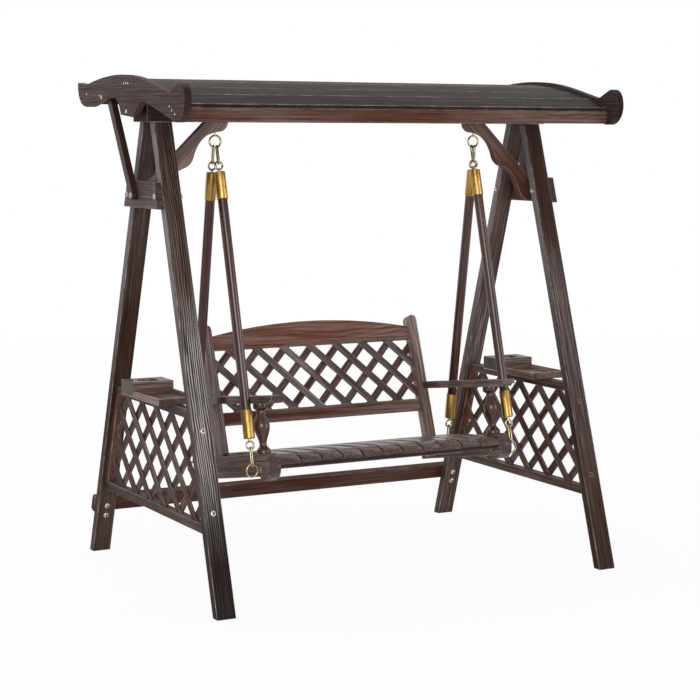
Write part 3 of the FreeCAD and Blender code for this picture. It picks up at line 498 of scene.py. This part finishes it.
# The back posts are lightened far past their stain: painted light where the arms shade them.
paint(wood("wood_post_l", BACK_UP, CHAR_TONES, level=2.7, relief=0.5, rings=0.5), "back_post_l")
paint(wood("wood_post_r", BACK_UP, POST_TONES, level=2.0, relief=0.5, rings=0.4), "back_post_r")
paint(wood("wood_seat", SEAT_RUN, BROWN_TONES, level=1.5, relief=0.9, rings=1.2, gloss=0.5, blotch=1.6,
           pieces=True), "seat_slats")
paint(wood("wood_seat_rail", SEAT_RUN, BROWN_TONES, level=1.4, rings=0.5, gloss=0.3),
      "seat_rail", "seat_battens")
for end, level in (("l", 0.9), ("r", 1.65)):
    paint(wood("wood_arm_" + end, ARM_RUN, BROWN_TONES, level=level, gloss=0.6), "arm_" + end)
turned_wood = wood("wood_turned", SEAT_UP, TURNED_TONES, level=1.1, relief=0.1, gloss=0.8, polish=0.07)
# Pale edge colour: rubbed stain and painted highlight.
worn_highlight_wood = worn_highlight_edge("wood_worn_highlight_edge", screen_colour(72, 58, 54), screen_colour(172, 158, 148))

# Metals.
brass = metal("brass_tube", colour=(180, 144, 80), deep=(138, 104, 48), roughness=0.34)
zinc = metal("plated_steel", colour=(184, 172, 140), deep=(112, 98, 70), roughness=0.24)
bolt_metal = metal("bolt_steel", colour=(216, 208, 188), deep=(160, 146, 116), roughness=0.30)
# Darker metal for the right front leg's panel bolts: painted shade.
shaded_bolt_metal = metal("bolt_shaded", colour=(118, 100, 88), deep=(70, 56, 48), roughness=0.45)
# Near-black metal for the socket floors: painted shade in the recess.
socket_shade_metal = metal("bolt_socket_shade", colour=(58, 48, 40), deep=(30, 24, 20), roughness=0.60)
paint(zinc, "roof_spacers")

# The solids have sharp edges; worn boards have soft ones, their bevels pale with rubbed stain and painted
# highlight, and rails and arms rounder ones.
# Nodes that are turned or drawn again below keep theirs.
EDGE_SOFT = 0.0022
EDGE_ROUND = 0.005
EDGE_FINE = 0.001
EDGE_STEPS = 2
EDGE_ANGLE = 35.0
MERGE = 0.00001
ROUND_NODES = ("seat_rail", "seat_slats", "arm_")
KEPT_EDGES = ("seat_slats", "seat_rail", "back_post")
SHARP_NODES = ("hanger_eye", "pole_", "seat_eyes", "baluster", "roof_spacers", "knee_bracket", "fascia_front")


def soften(obj, width, pale_edges):
    obj.modifiers.new("weld", "WELD").merge_threshold = MERGE
    bevel = obj.modifiers.new("bevel", "BEVEL")
    bevel.width = width
    bevel.segments = EDGE_STEPS
    bevel.limit_method = "ANGLE"
    bevel.angle_limit = math.radians(EDGE_ANGLE)
    bevel.harden_normals = True
    # The bevel faces take the pale edge material: rubbed stain and painted highlight.
    if pale_edges:
        bevel.material = len(obj.data.materials)
        obj.data.materials.append(worn_highlight_wood)


for name, obj in nodes.items():
    if not name.startswith(SHARP_NODES):
        width = EDGE_ROUND if name.startswith(ROUND_NODES) else EDGE_SOFT
        soften(obj, width, not name.startswith(KEPT_EDGES))

# Meshes made here are lists of points and faces, joined into one object for each node.
LATHE_SIDES = 40
ROD_SIDES = 16
NUT_SIDES = 6
WIRE_SIDES = 12
RING_STEPS = 48
BEND_STEPS = 12
NUT_EASE = 0.15
NUT_FOOT = 0.90
NUT_CROWN = 0.86
WASHER_EASE = 0.3


def lathe(base, axis, profile, sides=LATHE_SIDES):
    """Turned form: profile gives (radius, height along the axis), from end to end."""
    axis = Vector(axis).normalized()
    first, second = frame_on(axis)
    points = []
    for radius, height in profile:
        for k in range(sides):
            turn = 2 * math.pi * k / sides
            points.append(base + axis * height + first * (radius * math.cos(turn))
                          + second * (radius * math.sin(turn)))
    faces = []
    for i in range(len(profile) - 1):
        for k in range(sides):
            after = (k + 1) % sides
            faces.append((i * sides + k, i * sides + after, (i + 1) * sides + after, (i + 1) * sides + k))
    faces.append(tuple(reversed(range(sides))))
    faces.append(tuple((len(profile) - 1) * sides + k for k in range(sides)))
    return points, faces


def wire_loop(path, normal, radius):
    """Closed round wire along a flat path."""
    points = []
    count = len(path)
    for i in range(count):
        run = (path[(i + 1) % count] - path[i - 1]).normalized()
        out = run.cross(normal)
        for k in range(WIRE_SIDES):
            turn = 2 * math.pi * k / WIRE_SIDES
            points.append(path[i] + out * (radius * math.cos(turn)) + normal * (radius * math.sin(turn)))
    faces = []
    for i in range(count):
        here = i * WIRE_SIDES
        ahead = (i + 1) % count * WIRE_SIDES
        for k in range(WIRE_SIDES):
            after = (k + 1) % WIRE_SIDES
            faces.append((here + k, here + after, ahead + after, ahead + k))
    return points, faces


def ring(mid, right, up, radius, wire):
    """Ring of round wire in the plane of right and up."""
    path = []
    for k in range(RING_STEPS):
        turn = 2 * math.pi * k / RING_STEPS
        path.append(mid + right * (radius * math.cos(turn)) + up * (radius * math.sin(turn)))
    return wire_loop(path, right.cross(up), wire)


def link(start, end):
    """Oval link in a plane of constant X, its bends centred on start and end."""
    along = (end - start).normalized()
    flank = X_AXIS.cross(along)
    path = []
    for mid, out, side in ((start, -along, flank), (end, along, -flank)):
        for k in range(BEND_STEPS + 1):
            turn = math.pi * (0.5 - k / BEND_STEPS)
            path.append(mid + out * (LINK_R * math.cos(turn)) + side * (LINK_R * math.sin(turn)))
    return wire_loop(path, X_AXIS, LINK_WIRE)


def rod(base, axis, radius, long):
    return lathe(base, axis, [(radius, 0.0), (radius, long)], ROD_SIDES)


def nut(base, axis, radius, high):
    """Six-sided nut with eased corners."""
    ease = high * NUT_EASE
    profile = [(radius * NUT_FOOT, 0.0), (radius, ease), (radius, high - ease), (radius * NUT_CROWN, high)]
    return lathe(base, axis, profile, NUT_SIDES)


def washer(base, axis, radius, thick):
    ease = thick * WASHER_EASE
    profile = [(radius - ease, 0.0), (radius, ease), (radius, thick - ease), (radius - ease, thick)]
    return lathe(base, axis, profile)


def object_of(name, forms, material, body):
    """One piece of the visual model from its forms, riding on a body."""
    points = []
    faces = []
    for form_points, form_faces in forms:
        start = len(points)
        points += form_points
        faces += [tuple(start + k for k in face) for face in form_faces]
    mesh = bpy.data.meshes.new(name)
    mesh.from_pydata([tuple(p) for p in points], [], faces)
    mesh.materials.append(material)
    mesh.polygons.foreach_set("use_smooth", [True] * len(mesh.polygons))
    mesh.update()
    piece = bpy.data.objects.new(name, mesh)
    bpy.context.scene.collection.objects.link(piece)
    mesh.set_sharp_from_angle(angle=math.radians(EDGE_ANGLE))
    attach(piece, body)
    return piece


EYE_Z = LEG_TOP - EYE_DROP
SWING_Z = EYE_Z - math.sqrt(EYE_R ** 2 - LINK_OFFSET ** 2)
EYE_OFF = LINK_LONG + POLE_EYE_R
CAP_OFF = EYE_OFF + POLE_EYE_R + POLE_EYE_NECK

# Hanger eyes: ring, shank up through the bracket and the beam, nut on top.
for end, side in SIDES:
    mid = Vector((side * HANGER_X, 0, EYE_Z))
    forms = [ring(mid, X_AXIS, Z_AXIS, EYE_R, EYE_WIRE),
             rod(mid + Z_AXIS * EYE_R, Z_AXIS, SHANK_R, BEAM_TOP - EYE_Z - EYE_R),
             nut(Vector((mid.x, 0, BEAM_TOP)), Z_AXIS, NUT_R, NUT_HIGH)]
    piece = object_of("hanger_ring_" + end, forms, zinc, "stand")
    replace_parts(piece, "hanger_eye_" + end)

# Seat eyes, links, pole eyes and ferrules.
FERRULE_ROLL = 0.0012
FERRULE_LIP = 0.00048
FERRULE_SIDES = 56
POLES = (("pole_front", -LINK_OFFSET, EYE_FRONT_SEAT), ("pole_rear", LINK_OFFSET, EYE_REAR_SEAT))


def seat_eye(mid, side):
    """Eye bolt through a seat rail, with a washer outside and a nut inside."""
    outward = X_AXIS * side
    rail_in = Vector((side * RAIL_IN, mid.y, mid.z))
    rail_out = Vector((side * RAIL_OUT, mid.y, mid.z))
    return [ring(mid, X_AXIS, Z_AXIS, EYE_R, EYE_WIRE),
            rod(rail_in, outward, SHANK_R, abs(mid.x) - EYE_R - RAIL_IN),
            washer(rail_out, outward, WASHER_R, WASHER_THICK),
            nut(rail_in, -outward, NUT_R, NUT_HIGH)]


def pole_eye(end_point, inward):
    """Eye at a pole's end and its neck into the ferrule."""
    mid = end_point + inward * EYE_OFF
    neck = rod(mid + inward * POLE_EYE_R, inward, EYE_WIRE, POLE_EYE_NECK)
    return [ring(mid, X_AXIS, inward, POLE_EYE_R, EYE_WIRE), neck]


def ferrule(end_point, inward):
    """Brass tube with a closed, rounded outer end and a rolled inner rim."""
    shell = [(FERRULE_R - 3 * FERRULE_ROLL, 0.0), (FERRULE_R - FERRULE_ROLL, FERRULE_LIP),
             (FERRULE_R, 4 * FERRULE_LIP), (FERRULE_R, FERRULE_LONG - FERRULE_ROLL),
             (FERRULE_R - FERRULE_LIP, FERRULE_LONG), (POLE_R, FERRULE_LONG)]
    return lathe(end_point + inward * CAP_OFF, inward, shell, FERRULE_SIDES)


ferrules = []
pole_eyes = []
top_links = []
low_links = []
seat_eyes = []
for end, side in SIDES:
    for name, offset, seat in POLES:
        x = side * (HANGER_X + offset)
        eye = seat_point(x, *seat)
        high = Vector((x, 0, SWING_Z))
        low = eye + Z_AXIS * EYE_R
        down = (low - high).normalized()
        pole = name + "_" + end
        paint(wood("wood_" + pole, down, POLE_TONES, level=0.9, relief=0.1, gloss=0.8, polish=0.06), pole)
        seat_eyes += seat_eye(eye, side)
        for end_point, inward, links in ((high, down, top_links), (low, -down, low_links)):
            links.append(link(end_point, end_point + inward * LINK_LONG))
            pole_eyes += pole_eye(end_point, inward)
            ferrules.append(ferrule(end_point, inward))
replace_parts(object_of("ferrules", ferrules, brass, "bench"), "pole_ferrules")
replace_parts(object_of("pole_end_eyes", pole_eyes, zinc, "bench"), "pole_eyes")
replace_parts(object_of("upper_links", top_links, zinc, "bench"), "pole_links_top")
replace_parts(object_of("lower_links", low_links, zinc, "bench"), "pole_links_low")
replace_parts(object_of("rail_eyes", seat_eyes, zinc, "bench"), "seat_eyes")

# Knee brackets with their flowing lower edge: lip, cove, belly and a second cove down to the toe.
# The edge is given as (out along the beam, down from it).
KNEE_X = 0.536
KNEE_THICK = 0.036
KNEE_PAD = 0.096
KNEE_REACH = 0.330
KNEE_HEEL_DOWN = 0.231
KNEE_DROP = 0.320
KNEE_EDGE = ((0.0, 0.0), (0.006, 0.018), (0.025, 0.034), (0.055, 0.039), (0.090, 0.052), (0.119, 0.079),
             (0.138, 0.114), (0.149, 0.146), (0.168, 0.168), (0.197, 0.181), (0.228, 0.202), (0.250, 0.235),
             (0.266, 0.275), (0.284, 0.303), (0.310, KNEE_DROP))
KNEE_BACK = ((KNEE_REACH, KNEE_DROP), (KNEE_REACH, KNEE_HEEL_DOWN), (KNEE_PAD, 0.0))
KNEE_STEPS = 6
CHORD_PARTS = 6


def curve_through(stops):
    """Smooth line through the stops, which leaves each stop along the chord of its neighbours."""
    line = [stops[0]]
    for i in range(len(stops) - 1):
        here = stops[i]
        ahead = stops[i + 1]
        before = stops[max(i - 1, 0)]
        beyond = stops[min(i + 2, len(stops) - 1)]
        leaving = here + (ahead - before) / CHORD_PARTS
        coming = ahead - (beyond - here) / CHORD_PARTS
        line += interpolate_bezier(here, leaving, coming, ahead, KNEE_STEPS)[1:]
    return line


def board_cut(outline, normal, thick):
    """Board with a flat outline, half its thickness to each side of it."""
    count = len(outline)
    half = normal * (thick / 2)
    points = [point - half for point in outline] + [point + half for point in outline]
    faces = [tuple(range(count)), tuple(reversed(range(count, 2 * count)))]
    for k in range(count):
        after = (k + 1) % count
        faces.append((after, k, count + k, count + after))
    return points, faces


for end, side in SIDES:
    edge = curve_through([Vector((out, 0, -down)) for out, down in KNEE_EDGE])
    edge += [Vector((out, 0, -down)) for out, down in KNEE_BACK]
    outline = [Vector((side * (KNEE_X + point.x), 0, LEG_TOP + point.z)) for point in edge]
    if side < 0:
        outline.reverse()
    piece = object_of("shaped_knee_" + end, [board_cut(outline, Y_AXIS, KNEE_THICK)], knee_wood[end],
                      "stand")
    soften(piece, EDGE_SOFT, True)
    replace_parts(piece, "knee_bracket_" + end)

# Front fascia with its top planed to the slope of the roof, so that the lowest board lies on it.
FASCIA_RISE = 0.0074
low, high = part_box("fascia_front")
outline = [Vector((0, high.y, low.z)), Vector((0, low.y, low.z)), Vector((0, low.y, high.z)),
           Vector((0, high.y, high.z + FASCIA_RISE))]
piece = object_of("planed_fascia", [board_cut(outline, X_AXIS, high.x - low.x)], fascia_wood, "stand")
soften(piece, EDGE_FINE, True)
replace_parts(piece, "fascia_front")

# Balusters with their full turning, given as (radius, height) where it turns back.
BALUSTER_STOPS = [(0.028, 0.008), (0.014, 0.034), (0.031, 0.103), (0.015, 0.161), (0.028, 0.173)]
BALUSTER_EASE = 0.002
BALUSTER_SHORT = 0.004
BALUSTER_SIDES = 48
TURN_STEPS = 10


def baluster_profile(tall):
    foot_r = BALUSTER_STOPS[0][0]
    profile = [(foot_r - BALUSTER_EASE, 0.0), (foot_r, BALUSTER_EASE), BALUSTER_STOPS[0]]
    for (r0, h0), (r1, h1) in zip(BALUSTER_STOPS, BALUSTER_STOPS[1:]):
        for k in range(1, TURN_STEPS + 1):
            share = k / TURN_STEPS
            profile.append((r0 + (r1 - r0) * (1 - cos(180 * share)) / 2, h0 + (h1 - h0) * share))
    profile.append((BALUSTER_STOPS[-1][0], tall))
    return profile


for end, side in SIDES:
    foot = seat_point(side * RAIL_MID, BALUSTER_U, RAIL_UP)
    top_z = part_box("baluster_" + end)[1].z
    tall = (top_z - foot.z) / cos(SEAT_TILT) - BALUSTER_SHORT
    turned = lathe(foot, SEAT_UP, baluster_profile(tall), BALUSTER_SIDES)
    piece = object_of("turned_baluster_" + end, [turned], turned_wood, "bench")
    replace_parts(piece, "baluster_" + end)

# Bolts: a round head with a key socket on a washer, and a dome nut where the other end shows.
# The head's profile and the socket's sizes are shares of the head's radius and height.
BOLT_R = 0.0075
BOLT_HIGH = 0.0045
BOLT_SIDES = 24
BOLT_WASHER_R = 0.0105
BOLT_WASHER_THICK = 0.0014
HEAD_PROFILE = ((1.0, 0.0), (1.0, 0.55), (0.85, 0.9), (0.7, 1.0), (0.62, 1.0), (0.56, 0.1), (0.05, 0.1))
SOCKET_RIM = 0.54
SOCKET_UNDER = 0.15
SOCKET_FLOOR = 0.5
SOCKET_TIP = 0.1
SCREW_R = 0.0042
SCREW_HIGH = 0.0006
DOME_NUT_R = 0.0095
DOME_NUT_HIGH = 0.005
DOME_R = 0.0072
DOME_HIGH = 0.006
DOME_TIP = 0.06
DOME_STEPS = 6


def dome(base, axis, radius, high):
    profile = []
    for k in range(DOME_STEPS):
        rise = 90 * k / DOME_STEPS
        profile.append((radius * cos(rise), high * sin(rise)))
    profile.append((radius * DOME_TIP, high))
    return lathe(base, axis, profile, BOLT_SIDES)


def head(base, axis, radius, high):
    """Round head with a socket in its middle."""
    profile = [(radius * out, high * up) for out, up in HEAD_PROFILE]
    return lathe(base, axis, profile, BOLT_SIDES)


def bolt(at, axis):
    axis = Vector(axis).normalized()
    return [washer(at, axis, BOLT_WASHER_R, BOLT_WASHER_THICK),
            head(at + axis * BOLT_WASHER_THICK, axis, BOLT_R, BOLT_HIGH)]


def socket(at, axis):
    """Dark floor of a bolt's key socket: painted shade in the recess."""
    axis = Vector(axis).normalized()
    rim = BOLT_R * SOCKET_RIM
    floor_up = BOLT_HIGH * SOCKET_FLOOR
    profile = [(rim, BOLT_HIGH * SOCKET_UNDER), (rim, floor_up), (rim * SOCKET_TIP, floor_up)]
    return lathe(at + axis * BOLT_WASHER_THICK, axis, profile, BOLT_SIDES)


def dome_nut(at, axis):
    axis = Vector(axis).normalized()
    return [washer(at, axis, BOLT_WASHER_R, BOLT_WASHER_THICK),
            nut(at + axis * BOLT_WASHER_THICK, axis, DOME_NUT_R, DOME_NUT_HIGH),
            dome(at + axis * (BOLT_WASHER_THICK + DOME_NUT_HIGH), axis, DOME_R, DOME_HIGH)]


def all_bolts(places):
    return [form for place in places for form in bolt(*place)]


def all_sockets(places):
    return [socket(*place) for place in places]


def on_side(side, x, y, z):
    """Point of the right side, or the one opposite to it."""
    return Vector((side * x, y, z))


LEG_IN = LEG_X - LEG_WIDE / 2
LEG_OUT = LEG_X + LEG_WIDE / 2
LEG_DEEP = LEG_THICK / cos(LEG_LEAN)
FRONT_OUTWARD = (0, -cos(LEG_LEAN), sin(LEG_LEAN))
REAR_OUTWARD = (0, cos(LEG_LEAN), sin(LEG_LEAN))
REAR_INWARD = (0, -cos(LEG_LEAN), -sin(LEG_LEAN))
COLLAR_OUT = 0.893
GABLE_IN = 0.918
GABLE_OUT = 0.946
COLLAR_BOLT_Z = 1.485
PANEL_BOLT_HEIGHTS = (0.645, 0.360)
# The right leg's panel bolts take the darker metal as painted shade.
PANEL_BOLT_METAL = {"l": bolt_metal, "r": shaded_bolt_metal}
STRETCHER_BOLT_HEIGHTS = (0.157, 0.198)
STAY_FOOT_Y = 0.034
LUG_BOLT = (0.006, 1.801)
STAY_BOLT = (0.264, 1.857)
GABLE_SCREWS = ((-0.012, 1.906), (0.009, 1.907), (0.030, 1.906), (-0.408, 1.816), (-0.430, 1.802),
                (-0.457, 1.788), (0.281, 1.864), (0.426, 1.871))
POST_BOLT_U = 0.503
collar_bolt_y = leg_face(COLLAR_BOLT_Z) - LEG_DEEP / 2

for end, side in SIDES:
    outward = X_AXIS * side
    stand_bolts = [(on_side(side, GABLE_IN, STAY_FOOT_Y, COLLAR_BOLT_Z), outward)]
    nuts = dome_nut(on_side(side, LEG_OUT, STAY_FOOT_Y, COLLAR_BOLT_Z), -outward)
    for y in (-collar_bolt_y, collar_bolt_y):
        stand_bolts.append((on_side(side, COLLAR_OUT, y, COLLAR_BOLT_Z), outward))
        nuts += dome_nut(on_side(side, LEG_IN, y, COLLAR_BOLT_Z), -outward)
    panel_bolts = []
    for z in PANEL_BOLT_HEIGHTS:
        panel_bolts.append((on_side(side, LEG_X, -leg_face(z), z), FRONT_OUTWARD))
        stand_bolts.append((on_side(side, LEG_X, leg_face(z), z), REAR_OUTWARD))
    for z in STRETCHER_BOLT_HEIGHTS:
        stand_bolts.append((on_side(side, LEG_X, leg_face(z) - LEG_DEEP, z), REAR_INWARD))
    heads = []
    for y, z in (LUG_BOLT, STAY_BOLT):
        heads.append(head(on_side(side, GABLE_OUT, y, z), outward, BOLT_R, SCREW_HIGH))
    for y, z in GABLE_SCREWS:
        heads.append(head(on_side(side, GABLE_OUT, y, z), outward, SCREW_R, SCREW_HIGH))
    object_of("leg_bolts_" + end, all_bolts(stand_bolts) + nuts + heads, bolt_metal, "stand")
    object_of("panel_bolts_" + end, all_bolts(panel_bolts), PANEL_BOLT_METAL[end], "stand")
    object_of("bolt_sockets_" + end, all_sockets(stand_bolts + panel_bolts), socket_shade_metal, "stand")
    post_bolt = (seat_point(side * RAIL_OUT, POST_BOLT_U, 0.0), outward)
    baluster_nut = dome_nut(seat_point(side * RAIL_MID, BALUSTER_U, -RAIL_DOWN), -Vector(SEAT_UP))
    object_of("bench_bolts_" + end, bolt(*post_bolt) + baluster_nut, bolt_metal, "bench")
    object_of("bench_socket_" + end, [socket(*post_bolt)], socket_shade_metal, "bench")


def shows_background(n):
    """1 for rays that see the background, straight or in a reflection, and 0 for light."""
    rays = n.add("ShaderNodeLightPath").outputs
    seen = rays["Is Camera Ray"]
    for kind in ("Is Glossy Ray", "Is Transmission Ray"):
        seen = n.math("MAXIMUM", seen, rays[kind])
    return seen


# Floor: white like the background far out, and near the swing a little of it takes the shadow.
FLOOR_HALF = 40.0
FLOOR_COLOUR = (0.90, 0.90, 0.90, 1.0)
FLOOR_ROUGHNESS = 0.9
FLOOR_GLOW_NEAR = 0.93
FLOOR_NEAR = 2.0
FLOOR_FAR = 9.0
floor_mesh = bpy.data.meshes.new("floor")
floor_mesh.from_pydata([(-FLOOR_HALF, -FLOOR_HALF, 0), (FLOOR_HALF, -FLOOR_HALF, 0),
                        (FLOOR_HALF, FLOOR_HALF, 0), (-FLOOR_HALF, FLOOR_HALF, 0)], [], [(0, 1, 2, 3)])
floor = bpy.data.objects.new("floor", floor_mesh)
bpy.context.scene.collection.objects.link(floor)


def floor_material():
    material, n, shader = new_material("floor")
    n.put(shader.inputs["Base Color"], FLOOR_COLOUR)
    n.put(shader.inputs["Roughness"], FLOOR_ROUGHNESS)
    n.put(shader.inputs["Specular IOR Level"], 0.0)
    place = n.add("ShaderNodeTexCoord").outputs["Object"]
    reach = n.add("ShaderNodeVectorMath", {"operation": "LENGTH"}, Vector=place).outputs["Value"]
    white = n.add("ShaderNodeMapRange", Value=reach, From_Min=FLOOR_NEAR, From_Max=FLOOR_FAR,
                  To_Min=FLOOR_GLOW_NEAR, To_Max=1.0).outputs["Result"]
    blend = n.add("ShaderNodeMixShader")
    n.put(blend.inputs[0], n.math("MULTIPLY", shows_background(n), white))
    n.put(blend.inputs[1], shader.outputs[0])
    n.put(blend.inputs[2], n.add("ShaderNodeEmission").outputs[0])
    n.put(n.tree.nodes["Material Output"].inputs[0], blend.outputs[0])
    return material


floor_mesh.materials.append(floor_material())

# World: white to look at, and as a light weaker from the front than from the rear.
WORLD_FRONT = 0.35
WORLD_REAR = 1.0
WORLD_FRONT_Y = -0.2
WORLD_REAR_Y = 0.4
world = bpy.data.worlds.new("studio")
bpy.context.scene.world = world
world.use_nodes = True
world_nodes = Nodes(world.node_tree)
sky = world_nodes.tree.nodes["Background"]
outlook = world_nodes.dot(world_nodes.add("ShaderNodeTexCoord").outputs["Generated"], DEPTH_RUN)
backdrop = world_nodes.add("ShaderNodeMapRange", Value=outlook, From_Min=WORLD_FRONT_Y, From_Max=WORLD_REAR_Y,
                           To_Min=WORLD_FRONT, To_Max=WORLD_REAR).outputs["Result"]
world_nodes.put(sky.inputs["Color"], WHITE)
world_nodes.put(sky.inputs["Strength"], world_nodes.math("MAXIMUM", shows_background(world_nodes), backdrop))

# Lights, all aimed at the middle of the swing.
LIT_POINT = Vector((0.0, 0.0, 0.9))


def area_light(name, at, size, watts):
    light = bpy.data.lights.new(name, "AREA")
    light.shape = "RECTANGLE"
    light.size, light.size_y = size
    light.energy = watts
    lamp = bpy.data.objects.new(name, light)
    bpy.context.scene.collection.objects.link(lamp)
    lamp.location = at
    lamp.rotation_euler = (LIT_POINT - Vector(at)).to_track_quat("-Z", "Y").to_euler()


area_light("key", at=(-3.0, -5.5, 2.6), size=(3.0, 3.0), watts=182)
area_light("fill", at=(4.5, -4.5, 2.0), size=(2.4, 3.0), watts=80)
area_light("back", at=(-1.0, 4.6, 4.0), size=(3.0, 1.6), watts=60)

# Camera.
camera_data = bpy.data.cameras.new("camera")
camera_data.sensor_width = SENSOR_MM
camera_data.sensor_fit = "HORIZONTAL"
camera_data.lens = FOCAL_PIXELS / IMAGE_PIXELS * SENSOR_MM
camera_data.shift_y = -SHIFT_DOWN
camera_data.clip_end = CLIP_FAR
camera = bpy.data.objects.new("camera", camera_data)
bpy.context.scene.collection.objects.link(camera)
yaw = Matrix.Rotation(math.radians(-CAMERA_YAW), 4, "Z")
pitch = Matrix.Rotation(math.radians(90 + CAMERA_PITCH), 4, "X")
roll = Matrix.Rotation(math.radians(CAMERA_ROLL), 4, "Z")
turn = yaw @ pitch @ roll
camera.matrix_world = Matrix.Translation(CAMERA_AT) @ turn
bpy.context.scene.camera = camera
bpy.context.scene.view_settings.view_transform = "Standard"

bpy.context.view_layer.update()
